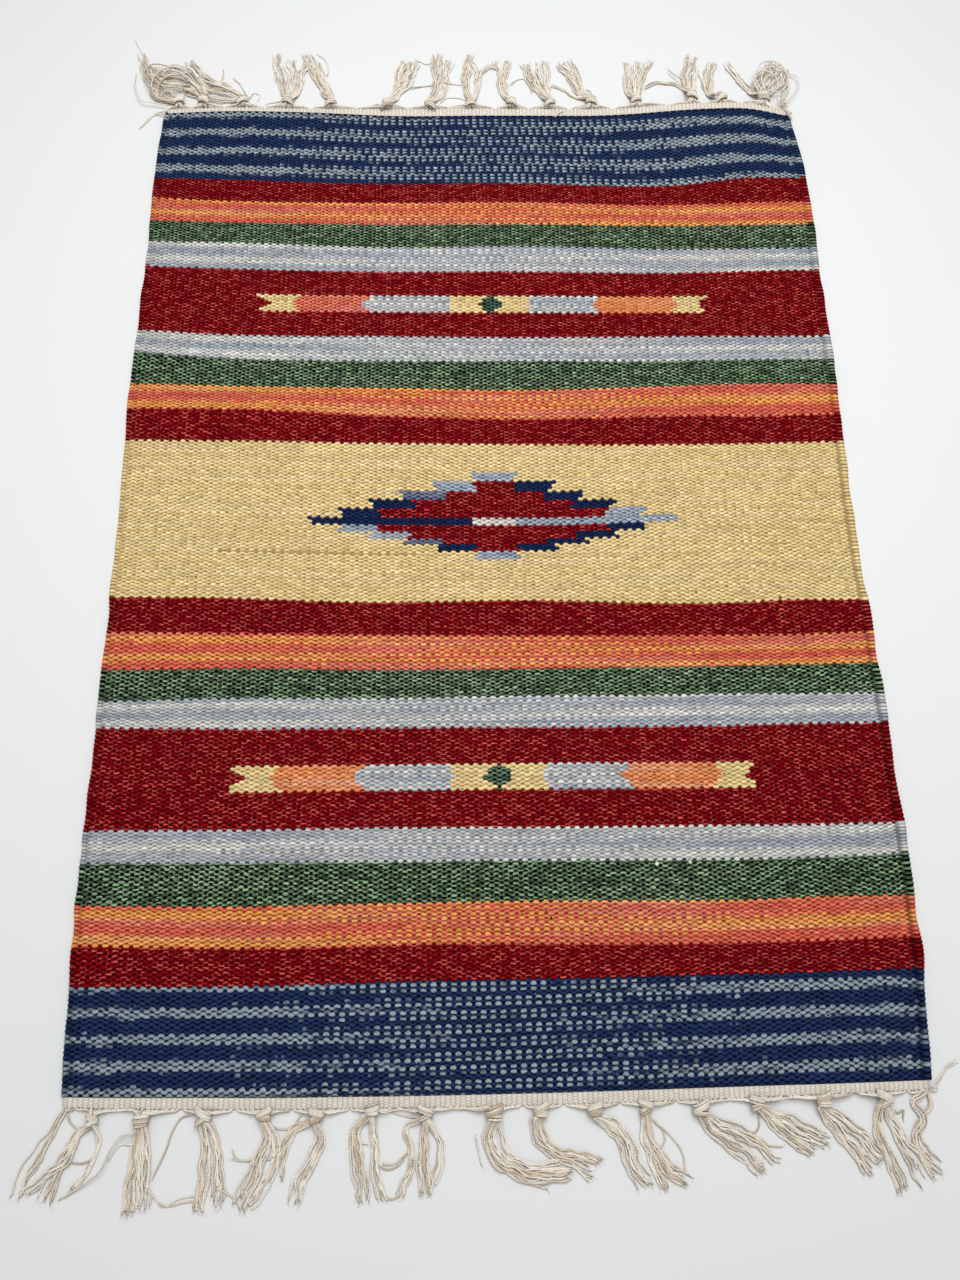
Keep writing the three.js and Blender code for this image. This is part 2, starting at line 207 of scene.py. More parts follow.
# Tassels: where the knot is, its size and slant, then its bundles of strands. A bundle has its
# share of the strands, its widths at the knot, halfway and at the tip, how high it is heaped
# in the middle, and the route of its middle line.
FAR_TASSELS = [
    (-288, 437, 0.9, 20, [
        (0.45, (5, 12, 7), 2, [(-289, 442), (-300, 448), (-312, 457), (-320, 472), (-331, 502)]),
        (0.55, (4, 10, 8), 1, [(-290, 440), (-303, 440), (-314, 450), (-313, 465), (-297, 477)]),
    ]),
    (-265, 437, 1, -15, [
        (0.5, (6, 14, 12), 4, [(-265, 444), (-273, 455), (-286, 461), (-305, 466), (-322, 480)]),
        (0.3, (5, 9, 6), 6, [(-264, 445), (-271, 458), (-286, 475), (-300, 477), (-299, 467)]),
        (0.2, (4, 6, 6), 5, [(-263, 446), (-266, 458), (-274, 472), (-285, 490)]),
    ]),
    (-228, 438, 1, 25, [
        (0.45, (6, 12, 14), 4, [(-230, 443), (-242, 450), (-256, 455), (-270, 458), (-288, 458)]),
        (0.3, (4, 6, 8), 3, [(-229, 444), (-240, 455), (-254, 463), (-268, 472), (-283, 486)]),
        (0.25, (4, 6, 7), 2, [(-231, 441), (-244, 441), (-258, 443), (-284, 449)]),
    ]),
    (-186, 438, 1.05, -20, [
        (0.3, (5, 9, 9), 0, [(-186, 443), (-192, 455), (-195, 470), (-199, 486), (-201, 503)]),
        (0.4, (6, 14, 14), 0, [(-184, 444), (-183, 458), (-184, 472), (-189, 495)]),
        (0.3, (4, 8, 12), 1, [(-182, 443), (-177, 456), (-176, 470), (-168, 495)]),
    ]),
    (-145, 437, 1, 15, [
        (0.5, (4, 9, 8), 1, [(-147, 443), (-153, 456), (-158, 470), (-165, 484), (-171, 502)]),
        (0.5, (4, 8, 9), 0, [(-145, 443), (-148, 456), (-154, 468), (-163, 490)]),
    ]),
    (-92, 435, 1.05, 20, [
        (0.6, (7, 12, 12), 1, [(-90, 441), (-83, 453), (-76, 464), (-72, 478), (-66, 494)]),
        (0.4, (6, 9, 9), 0, [(-90, 441), (-84, 452), (-82, 466), (-80, 480), (-77, 496)]),
    ]),
    (-51, 436, 1, -25, [
        (0.6, (6, 10, 9), 1, [(-50, 442), (-46, 454), (-43, 468), (-44, 486), (-43, 505)]),
        (0.4, (4, 8, 10), 0, [(-49, 442), (-41, 452), (-37, 466), (-37, 482), (-33, 497)]),
    ]),
    (-12, 439, 0.95, 10, [
        (0.6, (5, 8, 8), 0, [(-12, 444), (-15, 456), (-16, 470), (-14, 487), (-11, 505)]),
        (0.25, (4, 5, 5), 1, [(-10, 444), (-6, 458), (-5, 472), (-9, 497)]),
        (0.15, (3, 4, 4), 2, [(-9, 444), (-5, 460), (-3, 476), (5, 489), (19, 488)]),
    ]),
    (27, 440, 1, -20, [
        (0.6, (5, 8, 10), 1, [(25, 446), (21, 456), (21, 470), (22, 484), (25, 497)]),
        (0.4, (5, 6, 9), 0, [(24, 446), (18, 458), (17, 472), (17, 485), (13, 497)]),
    ]),
    (64, 441, 1, 20, [
        (0.65, (6, 12, 14), 1, [(62, 447), (57, 457), (51, 468), (48, 480), (44, 495)]),
        (0.35, (4, 6, 8), 0, [(64, 447), (63, 460), (62, 474), (61, 499)]),
    ]),
    (104, 443, 1.05, -15, [
        (0.55, (6, 12, 12), 1, [(101, 449), (94, 460), (89, 472), (87, 484), (82, 499)]),
        (0.15, (3, 4, 6), 0, [(99, 448), (86, 455), (76, 463), (58, 470)]),
        (0.3, (4, 8, 8), 2, [(101, 450), (95, 464), (89, 478), (73, 493)]),
    ]),
    (147, 444, 1, 15, [
        (0.4, (5, 8, 9), 0, [(145, 449), (141, 460), (141, 474), (144, 497)]),
        (0.4, (5, 8, 9), 1, [(148, 449), (149, 462), (150, 476), (154, 499)]),
        (0.2, (3, 4, 6), 0, [(150, 449), (153, 463), (157, 477), (167, 501)]),
    ]),
    (201, 447, 1, -20, [
        (0.6, (6, 10, 9), 1, [(200, 454), (199, 468), (200, 482), (203, 495), (208, 508)]),
        (0.25, (3, 5, 6), 0, [(204, 455), (206, 470), (208, 483), (209, 495)]),
        (0.15, (2, 3, 4), 1, [(197, 454), (194, 466), (182, 471), (168, 471), (156, 464)]),
    ]),
    (229, 444, 1, 25, [
        (0.65, (6, 8, 9), 1, [(226, 449), (221, 459), (221, 472), (224, 486), (228, 500)]),
        (0.35, (4, 6, 9), 0, [(224, 450), (219, 462), (217, 476), (214, 490)]),
    ]),
    (270, 445, 1.15, -10, [
        (0.45, (7, 18, 12), 3, [(270, 452), (268, 464), (275, 478), (286, 489), (289, 503)]),
        (0.3, (5, 12, 10), 4, [(273, 453), (283, 464), (294, 474), (297, 486), (289, 496)]),
        (0.25, (4, 6, 6), 1, [(267, 452), (258, 466), (251, 478), (240, 500)]),
    ]),
]
NEAR_TASSELS = [
    (-290, -428, 0, 0, [
        (0.7, (4, 12, 12), 1, [(-290, -427), (-298, -440), (-307, -455), (-315, -470), (-319, -481)]),
        (0.3, (3, 8, 8), 0, [(-289, -427), (-293, -438), (-300, -452), (-312, -479)]),
    ]),
    (-271, -433, 0.8, 25, [
        (0.45, (3, 8, 12), 1, [(-271, -436), (-279, -441), (-284, -449), (-292, -468), (-297, -482)]),
        (0.3, (3, 6, 10), 2, [(-272, -436), (-280, -443), (-284, -455), (-299, -467), (-312, -477)]),
        (0.25, (2, 4, 6), 0, [(-269, -437), (-266, -446), (-269, -458), (-281, -476)]),
    ]),
    (-239, -434, 1, -5, [
        (0.5, (4, 8, 8), 0, [(-240, -439), (-242, -450), (-243, -464), (-244, -491)]),
        (0.5, (4, 8, 10), 1, [(-237, -439), (-236, -450), (-235, -464), (-235, -488)]),
    ]),
    (-199, -432, 1.05, 30, [
        (0.55, (4, 8, 10), 1, [(-199, -437), (-197, -448), (-196, -460), (-199, -490)]),
        (0.45, (3, 6, 8), 0, [(-196, -436), (-190, -447), (-188, -461), (-186, -488)]),
    ]),
    (-159, -432, 0.95, -20, [
        (0.6, (4, 9, 10), 1, [(-159, -437), (-156, -445), (-160, -457), (-168, -477), (-174, -489)]),
        (0.4, (3, 6, 7), 0, [(-157, -437), (-152, -447), (-151, -460), (-157, -474), (-168, -487)]),
    ]),
    (-125, -433, 1, 15, [
        (0.45, (3, 7, 9), 0, [(-127, -437), (-138, -442), (-145, -450), (-148, -461), (-150, -473)]),
        (0.55, (3, 9, 7), 1, [(-125, -438), (-122, -447), (-125, -457), (-133, -471), (-138, -486)]),
    ]),
    (-88, -431, 0.9, -15, [
        (0.5, (5, 9, 9), 1, [(-91, -435), (-98, -441), (-99, -450), (-95, -468), (-92, -487)]),
        (0.5, (4, 6, 8), 0, [(-88, -436), (-87, -448), (-86, -460), (-84, -475), (-78, -487)]),
    ]),
    (-53, -433, 1, 20, [
        (0.5, (3, 8, 8), 1, [(-53, -438), (-54, -450), (-54, -464), (-53, -484)]),
        (0.25, (3, 5, 5), 0, [(-51, -438), (-45, -448), (-43, -460), (-50, -479)]),
        (0.25, (3, 4, 6), 0, [(-56, -437), (-66, -444), (-62, -456), (-64, -470), (-70, -484)]),
    ]),
    (-7, -434, 1.1, -20, [
        (0.65, (6, 11, 7), 1, [(-8, -439), (-11, -449), (-7, -460), (8, -469), (44, -473)]),
        (0.2, (3, 3, 4), 0, [(-10, -440), (-13, -451), (-3, -465), (10, -474), (28, -480)]),
        (0.15, (3, 3, 3), 2, [(-4, -439), (-2, -450), (4, -461), (18, -466), (38, -464)]),
    ]),
    (24, -433, 0.95, -25, [
        (0.6, (7, 8, 10), 1, [(20, -438), (22, -449), (30, -458), (44, -463), (60, -470)]),
        (0.25, (4, 4, 5), 2, [(22, -438), (26, -450), (36, -458), (50, -460), (65, -464)]),
        (0.15, (3, 3, 3), 0, [(19, -439), (25, -452), (38, -462), (48, -468), (56, -479)]),
    ]),
    (60, -433, 1, -15, [
        (0.6, (4, 8, 8), 0, [(60, -438), (70, -445), (79, -455), (83, -469), (92, -481)]),
        (0.4, (3, 6, 6), 2, [(61, -437), (73, -443), (81, -451), (86, -467), (97, -480)]),
    ]),
    (94, -432, 0.95, 20, [
        (0.6, (4, 6, 8), 1, [(94, -438), (95, -450), (100, -460), (108, -471), (120, -480)]),
        (0.4, (3, 4, 6), 0, [(93, -438), (92, -452), (97, -465), (104, -484)]),
    ]),
    (131, -434, 1.1, -25, [
        (0.6, (5, 9, 8), 0, [(132, -439), (138, -448), (148, -455), (160, -463), (171, -474)]),
        (0.4, (4, 8, 8), 1, [(134, -438), (145, -444), (158, -450), (170, -458), (182, -470)]),
    ]),
    (169, -431, 0.95, 15, [
        (0.6, (4, 9, 8), 0, [(171, -435), (179, -442), (189, -451), (198, -457), (205, -464)]),
        (0.4, (4, 9, 10), 2, [(172, -434), (184, -441), (196, -447), (217, -457)]),
    ]),
    (214, -430, 1, -20, [
        (0.5, (3, 6, 6), 0, [(211, -435), (218, -446), (228, -457), (236, -468), (241, -478)]),
        (0.5, (3, 10, 10), 1, [(213, -434), (224, -443), (235, -452), (250, -470)]),
    ]),
    (256, -430, 1.05, 25, [
        (0.45, (4, 7, 8), 0, [(252, -435), (250, -446), (252, -458), (257, -471), (262, -488)]),
        (0.55, (5, 12, 15), 1, [(256, -435), (261, -447), (267, -459), (275, -471), (281, -482)]),
    ]),
    (287, -426, 0, 0, [
        (0.5, (4, 8, 9), 2, [(286, -427), (277, -434), (281, -443), (275, -455), (290, -476)]),
        (0.5, (3, 7, 8), 1, [(288, -427), (288, -436), (278, -447), (275, -460), (287, -480)]),
    ]),
]
# Single threads that leave their tassel: which tassel, and the route they lie along
FAR_STRAYS = [
    (1, [(-298, 431), (-312, 434), (-321, 435), (-328, 446), (-332, 460), (-333, 474)]),
    (1, [(-299, 421), (-311, 423), (-317, 415), (-323, 407)]),
    (1, [(-298, 424), (-310, 425), (-316, 419), (-320, 411)]),
    (1, [(-316, 470), (-323, 485), (-331, 503), (-337, 515)]),
    (3, [(-262, 460), (-253, 464), (-250, 471), (-250, 480)]),
    (3, [(-225, 446), (-230, 457), (-234, 464), (-239, 469)]),
    (3, [(-223, 444), (-219, 452), (-214, 450), (-215, 442)]),
    (4, [(-190, 442), (-199, 441), (-207, 438), (-203, 433)]),
    (5, [(-150, 474), (-150, 488), (-154, 497), (-160, 502)]),
    (6, [(-70, 460), (-60, 463), (-50, 465), (-44, 467)]),
    (6, [(-66, 496), (-60, 495), (-54, 492), (-50, 494)]),
    (7, [(-41, 443), (-36, 449), (-27, 450), (-17, 447), (-13, 443)]),
    (7, [(-38, 468), (-28, 467), (-18, 466)]),
    (9, [(27, 466), (34, 474), (40, 475), (45, 466), (47, 458)]),
    (11, [(101, 449), (105, 456), (104, 461), (97, 462)]),
    (13, [(193, 470), (188, 478), (182, 486)]),
    (15, [(288, 438), (291, 455), (294, 470), (294, 484), (288, 495)]),
    (15, [(289, 437), (294, 452), (298, 466), (297, 480), (291, 490)]),
    (15, [(289, 440), (298, 451), (306, 463), (309, 475), (305, 482), (297, 485)]),
    # Curls in the tangle at the left
    (2, [(-262, 440), (-271, 461), (-284, 475), (-298, 478), (-310, 471), (-315, 456), (-310, 443),
         (-297, 438), (-286, 443), (-285, 455)]),
    (2, [(-263, 439), (-276, 457), (-289, 468), (-302, 465), (-309, 452), (-303, 439), (-290, 437)]),
    (1, [(-287, 437), (-299, 437), (-311, 441), (-319, 456), (-323, 472), (-317, 481), (-301, 480),
         (-283, 472), (-268, 453)]),
    (3, [(-227, 442), (-245, 453), (-264, 460), (-280, 473), (-280, 489), (-273, 484)]),
    (2, [(-259, 438), (-272, 445), (-289, 452), (-303, 453), (-314, 461), (-323, 476), (-327, 493)]),
    (2, [(-267, 440), (-279, 450), (-294, 450), (-305, 443), (-299, 437), (-284, 438)]),
    # Curls in the tangle at the right
    (15, [(273, 450), (265, 465), (267, 481), (278, 494), (290, 494), (298, 481), (296, 466),
          (285, 457), (277, 461)]),
    (15, [(274, 450), (271, 472), (282, 487), (295, 484), (299, 469), (293, 451), (294, 442)]),
    (15, [(277, 450), (286, 461), (283, 476), (273, 481), (263, 470), (267, 456)]),
    # Threads that fell onto the cloth
    (15, [(285, 450), (289, 440), (292, 430), (294, 422)]),
    (15, [(289, 452), (292, 438), (294, 431), (297, 426)]),
    (11, [(68, 423), (71, 428), (76, 431)]),
]
NEAR_STRAYS = [
    (1, [(-288, -429), (-286, -435), (-281, -440), (-286, -447)]),
    (2, [(-270, -437), (-265, -446), (-268, -455), (-274, -459), (-282, -459)]),
    (2, [(-268, -440), (-267, -456), (-272, -466), (-277, -473), (-283, -478)]),
    (3, [(-242, -442), (-252, -444), (-256, -450), (-262, -463), (-271, -470), (-288, -480)]),
    (3, [(-243, -449), (-252, -449), (-256, -453), (-259, -458)]),
    (3, [(-231, -475), (-226, -481), (-221, -485), (-212, -481), (-199, -479)]),
    (3, [(-224, -483), (-219, -485), (-208, -483), (-197, -482)]),
    (4, [(-205, -431), (-214, -434), (-219, -442), (-222, -452), (-229, -468)]),
    (4, [(-188, -475), (-182, -478), (-176, -482), (-172, -488)]),
    (5, [(-150, -457), (-158, -460), (-168, -460), (-177, -458), (-179, -454)]),
    (5, [(-166, -459), (-172, -460), (-179, -459)]),
    (6, [(-128, -436), (-138, -439), (-146, -442), (-152, -441)]),
    (6, [(-134, -431), (-137, -436), (-142, -441), (-150, -442)]),
    (7, [(-100, -445), (-97, -450), (-91, -452)]),
    (7, [(-82, -478), (-77, -484), (-71, -483), (-67, -477)]),
    (7, [(-83, -464), (-78, -467), (-71, -465), (-63, -454)]),
    (7, [(-81, -463), (-74, -464), (-66, -458)]),
    (8, [(-57, -436), (-64, -436), (-72, -434), (-80, -431)]),
    (9, [(-20, -447), (-18, -458), (-16, -466)]),
    (12, [(98, -440), (104, -446), (106, -453), (101, -460)]),
    (12, [(100, -442), (110, -451), (117, -461), (118, -473)]),
    (13, [(160, -448), (167, -450), (170, -446), (170, -439)]),
    (13, [(152, -453), (163, -456), (174, -458), (184, -459)]),
    (16, [(262, -438), (266, -440), (269, -438), (268, -444)]),
    (17, [(289, -424), (297, -419), (303, -412), (310, -408)]),
    (17, [(290, -425), (297, -421), (304, -413), (311, -410)]),
]

# A stray with more points than this curls over the heaped bundles, this high
TANGLE_POINTS = 5
TANGLE_HEIGHT = 5.2

# Yarns of the tassels
THREAD_RADIUS = 0.68
THREAD_STEP = 1.6
THREAD_SIDES = 8
PLY_DEPTH = 0.13
PLY_PITCH = 6.0
KNOT_CENTRE_HEIGHT = 4.9
KNOT_HALF_WIDTH = 4.9
KNOT_HALF_HEIGHT = 3.7

# The photograph's camera
CAMERA_PLACE = (-36.9, -342.2, 707.7)
CAMERA_PITCH = 71.111
CAMERA_YAW = 6.026
CAMERA_ROLL = 5.426
CAMERA_LENS = 27
CAMERA_SENSOR = 36


# Reading tables

def curve(at, places, values):
    """Reads a smooth curve through a short table at any places."""
    places = np.asarray(places, float)
    values = np.asarray(values, float)
    slopes = np.gradient(values, places)
    at = np.clip(at, places[0], places[-1])
    row = np.clip(np.searchsorted(places, at) - 1, 0, len(places) - 2)
    span = places[row + 1] - places[row]
    t = (at - places[row]) / span
    start = (1 + 2 * t) * (1 - t) ** 2 * values[row] + t * (1 - t) ** 2 * span * slopes[row]
    end = t * t * (3 - 2 * t) * values[row + 1] + t * t * (t - 1) * span * slopes[row + 1]
    return start + end


def column(table, number):
    """One column of a table."""
    return [row[number] for row in table]


def hump(distance, span):
    """1 at the middle and 0 at the span."""
    return (1 + np.cos(np.pi * np.minimum(np.abs(distance) / span, 1))) / 2


def lift_at(x, y):
    """How far the cloth stands off the floor."""
    height = 0
    for at_x, at_y, left, right, along, top in LIFTS:
        across = np.where(x < at_x, left, right)
        height = height + top * hump(x - at_x, across) * hump(y - at_y, along)
    return height


def cloud(kind, rows, columns):
    """Smooth seeded noise on a grid: its seed, its size, and its reach in rows and columns."""
    seed, size, reach_rows, reach_columns = kind
    rng = np.random.default_rng(SEED + seed)
    field = np.fft.rfft2(rng.standard_normal((rows, columns)))
    fy = np.fft.fftfreq(rows)[:, None] * reach_rows
    fx = np.fft.rfftfreq(columns)[None, :] * reach_columns
    field *= np.exp(-2 * math.pi**2 * (fy**2 + fx**2))
    smooth = np.fft.irfft2(field, s=(rows, columns))
    return smooth * (size / smooth.std())


def run_along(points):
    """How far along a line of points each one is."""
    return np.concatenate([[0], np.cumsum(np.linalg.norm(np.diff(points, axis=0), axis=1))])


def directions(points):
    """The way a line of points runs at each one."""
    steps = np.gradient(points, axis=0)
    return steps / np.linalg.norm(steps, axis=1)[:, None]


# The cloth's layout

def loom_columns():
    """Places across the cloth, in warps: one a warp, and more on the selvedge cords."""
    cord = list(CORD_PROFILE_AT)
    middle = [i + 0.5 for i in range(1, WARPS - 1)]
    return np.array(cord + middle + [WARPS - c for c in reversed(cord)])


def loom_rows():
    """Places along the cloth, in picks: one a pick, and both ends."""
    return np.array([0] + [k + 0.5 for k in range(PICKS)] + [PICKS])


def stripe_lines(share):
    """Where the stripes' edges run, as y at shares of the width, and the picks they lie at."""
    x = -300 + 600 * share
    lines = [curve(x, column(FAR_END, 0), column(FAR_END, 1))]
    picks = [0]
    for _, count, _, _, edge in STRIPES:
        picks.append(picks[-1] + count)
        if edge:
            lines.append(curve(share, STATIONS, edge))
        else:
            lines.append(curve(x, column(NEAR_END, 0), column(NEAR_END, 1)))
    return np.array(picks), np.array(lines)


def across(u, left, right):
    """x of a place in warps between the two sides, which are selvedge cords one warp wide."""
    first = left + LEFT_CORD
    last = right - RIGHT_CORD
    x = first + (u - 1) * (last - first) / (WARPS - 2)
    x = np.where(u < 1, left + LEFT_CORD * u, x)
    return np.where(u > WARPS - 1, right - RIGHT_CORD * (WARPS - u), x)


def lay(u, v):
    """The plan of the cloth: x and y for every row v and column u, in millimetres."""
    picks, lines = stripe_lines(u / WARPS)
    y = np.stack([np.interp(v, picks, lines[:, c]) for c in range(len(u))], axis=1)
    left = curve(y, column(SIDES, 0), column(SIDES, 1))
    right = curve(y, column(SIDES, 0), column(SIDES, 2))
    return across(u[None, :], left, right), y


def warp_at(x, y):
    """The warp that runs through a place in the cloth's plan."""
    left = float(curve(y, column(SIDES, 0), column(SIDES, 1))) + LEFT_CORD
    right = float(curve(y, column(SIDES, 0), column(SIDES, 2))) - RIGHT_CORD
    return 1 + (x - left) * (WARPS - 2) / (right - left)


def pick_at(y):
    """The pick that runs through a place along the cloth's middle."""
    picks, lines = stripe_lines(np.array([0.5]))
    return float(np.interp(-y, -lines[:, 0], picks))


# Meshes

def mesh_piece(name, points, faces, marks, material):
    """A mesh piece from points in millimetres, with its loom places as a UV map."""
    mesh = bpy.data.meshes.new(name)
    mesh.from_pydata((np.asarray(points) * MM).tolist(), [], faces)
    loom = mesh.uv_layers.new(name=LOOM_MAP)
    loom.data.foreach_set("uv", np.asarray(marks, np.float32).ravel())
    mesh.shade_smooth()
    mesh.materials.append(material)
    piece = bpy.data.objects.new(name, mesh)
    bpy.context.scene.collection.objects.link(piece)
    return piece


def rim(rows, columns):
    """The cells round a grid's edge, anticlockwise from above."""
    down = [(r, 0) for r in range(rows)]
    right = [(rows - 1, c) for c in range(1, columns)]
    up = [(r, columns - 1) for r in range(rows - 2, -1, -1)]
    left = [(0, c) for c in range(columns - 2, 0, -1)]
    return down + right + up + left


def grid_faces(rows, columns, start, upward):
    """The squares of a grid whose points begin at a number, facing up or down."""
    faces = []
    for r in range(rows - 1):
        for c in range(columns - 1):
            a = start + r * columns + c
            quad = (a, a + columns, a + columns + 1, a + 1)
            faces.append(quad if upward else quad[::-1])
    return faces


def zip_loops(upper, lower, upper_at, lower_at):
    """Triangles between two rims, walked round together by their places on the way."""
    faces = []
    i = j = 0
    while i < len(upper) or j < len(lower):
        next_upper = upper_at[i + 1] if i + 1 < len(upper) else 1
        next_lower = lower_at[j + 1] if j + 1 < len(lower) else 1
        here, below = upper[i % len(upper)], lower[j % len(lower)]
        if i < len(upper) and (next_upper <= next_lower or j >= len(lower)):
            faces.append((here, below, upper[(i + 1) % len(upper)]))
            i += 1
        else:
            faces.append((here, below, lower[(j + 1) % len(lower)]))
            j += 1
    return faces


def rim_places(cells, u, v):
    """Shares of the way round for a rim's cells, a quarter for each side."""
    last_row, last_column = len(v) - 1, len(u) - 1
    places = []
    for r, c in cells:
        across_share = (u[c] - u[0]) / (u[-1] - u[0])
        along_share = (v[r] - v[0]) / (v[-1] - v[0])
        if c == 0 and r < last_row:
            places.append(along_share / 4)
        elif r == last_row and c < last_column:
            places.append((1 + across_share) / 4)
        elif c == last_column and r > 0:
            places.append((3 - along_share) / 4)
        else:
            places.append((4 - across_share) / 4)
    return places


def cloth_piece(name, u, v, top, low_u, low_v, low, tuck, material):
    """A closed cloth: a fine face above, an edge tucked under it, and a coarse face below."""
    inward, tuck_height = tuck
    rows, columns = len(v), len(u)
    points = list(top.reshape(-1, 3))
    places = [(a, b) for b in v for a in u]
    faces = grid_faces(rows, columns, 0, True)
    cells = rim(rows, columns)
    upper = [r * columns + c for r, c in cells]
    middle = top.reshape(-1, 3).mean(axis=0)
    ring = list(range(len(points), len(points) + len(upper)))
    for r, c in cells:
        point = top[r, c].copy()
        if c in (0, columns - 1):
            point[0] += inward * np.sign(middle[0] - point[0])
        if r in (0, rows - 1):
            point[1] += inward * np.sign(middle[1] - point[1])
        point[2] = lift_at(point[0], point[1]) + tuck_height
        points.append(point)
        places.append((u[c], v[r]))
    for i in range(len(upper)):
        n = (i + 1) % len(upper)
        faces.append((upper[i], ring[i], ring[n], upper[n]))
    start = len(points)
    points.extend(low.reshape(-1, 3))
    places.extend((a, b) for b in low_v for a in low_u)
    faces.extend(grid_faces(len(low_v), len(low_u), start, False))
    low_cells = rim(len(low_v), len(low_u))
    low_rim = [start + r * len(low_u) + c for r, c in low_cells]
    ring_at = rim_places(cells, u, v)
    low_at = rim_places(low_cells, low_u, low_v)
    faces.extend(zip_loops(ring, low_rim, ring_at, low_at))
    marks = [places[corner] for face in faces for corner in face]
    return mesh_piece(name, points, faces, marks, material)


# The wool field

# Unevenness of the weave: seed, millimetres, and its reach in picks and in warps
WARP_WANDER = (1, 0.3, 40, 3)
PICK_WANDER = (2, 0.35, 10, 14)
PICK_JITTER = (3, 0.10, 0.4, 8)
EDGE_WANDER = (4, 0.5, 5, 0.1)
FADE_WARPS = 4
FADE_PICKS = 6
EDGE_RIB = 0.35
EDGE_RIB_FADE = 4
FIELD_TUCK = 0.8
FIELD_TUCK_HEIGHT = 0.7
UNDERSIDE_WARPS = (14, 0.35)
UNDERSIDE_PICKS = (20, 1)


def fade(u, v):
    """0 at the cloth's edges and 1 a few warps and picks inside them."""
    from_side = np.minimum(u, WARPS - u)[None, :] / FADE_WARPS
    from_end = np.minimum(v, PICKS - v)[:, None] / FADE_PICKS
    return np.clip(from_side, 0, 1) * np.clip(from_end, 0, 1)


def selvedge_shift(u, v):
    """How far the edge cords stand out or in where each pick turns round them."""
    from_side = np.clip(np.minimum(u, WARPS - u), 0, 1)
    outward = np.where(u < WARPS / 2, -1, 1) * (1 - from_side)
    ends = np.clip(np.minimum(v, PICKS - v) / EDGE_RIB_FADE, 0, 1)
    left = u < WARPS / 2
    rib = np.where(left, 1, -1) * np.cos(np.pi * (v - 0.5))[:, None]
    wander = cloud(EDGE_WANDER, len(v), 2)
    wander = np.where(left, wander[:, :1], wander[:, 1:])
    return outward * ends[:, None] * (EDGE_RIB * rib + wander)


def field_heights(u, v):
    """The upper face over a flat floor: round edge cords, a bead at each crossing, thin ends."""
    cord = np.minimum(np.minimum(u, WARPS - u), 1)
    profile = np.where(cord < 1, curve(cord, CORD_PROFILE_AT, CORD_PROFILE), CLOTH_TOP)
    profile = np.where(np.isclose(cord, 1) & np.isclose(u % 1, 0), CORD_PROFILE[-1], profile)
    height = profile + BEAD_RELIEF * np.sin(np.pi * u) * np.sin(np.pi * v)[:, None]
    height[[0, -1]] = np.minimum(height[[0, -1]], END_TOP)
    return height


def underside_places(count, step, inset):
    """Places across the plain underside: its two edges, and even steps between them."""
    return np.concatenate([[inset], np.arange(step, count - step / 2, step), [count - inset]])


def wool_field(material):
    """The field as one closed cloth, uneven as it was woven."""
    u = loom_columns()
    v = loom_rows()
    x, y = lay(u, v)
    shape = (len(v), len(u))
    inside = fade(u, v)
    x += inside * cloud(WARP_WANDER, *shape) + selvedge_shift(u, v)
    y += inside * (cloud(PICK_WANDER, *shape) + cloud(PICK_JITTER, *shape))
    top = np.stack([x, y, field_heights(u, v) + lift_at(x, y)], axis=2)
    low_u = underside_places(WARPS, *UNDERSIDE_WARPS)
    low_v = underside_places(PICKS, *UNDERSIDE_PICKS)
    low_x, low_y = lay(low_u, low_v)
    low = np.stack([low_x, low_y, lift_at(low_x, low_y)], axis=2)
    tuck = (FIELD_TUCK, FIELD_TUCK_HEIGHT)
    return cloth_piece("wool_field", u, v, top, low_u, low_v, low, tuck, material)


# The cotton headings

HEADING_ROWS_PER_PICK = 4
HEADING_TUCK = 0.5
HEADING_TUCK_HEIGHT = 0.5
HEADING_EDGE_DROP = 0.4
HEADING_WANDER = (21, 0.12, 2, 10)
HEADING_UNDERSIDE_COLUMNS = 40
HEADING_UNDERSIDE_INSETS = (0.3, 0.4)
SCALLOP = 0.35


def end_edge(u, outward):
    """x of the warps at an end of the wool, and y where wool and heading stop there."""
    v = 0.0 if outward > 0 else float(PICKS)
    x, wool = lay(u, np.array([v]))
    table = FAR_END if outward > 0 else NEAR_END
    edge = curve(x[0], column(table, 0), column(table, 2))
    return x[0], wool[0], edge


def heading_plan(u, v, outward, scallop):
    """x and y of a heading's rows, which run away from the far side, and their way outward."""
    x, wool, edge = end_edge(u, outward)
    share = v[:, None] / HEADING_PICKS
    if outward > 0:
        share = 1 - share
    inner = wool + outward * HEADING_GAP
    outer = edge + outward * scallop * np.cos(2 * np.pi * u)
    return np.repeat(x[None, :], len(v), axis=0), inner + share * (outer - inner), share


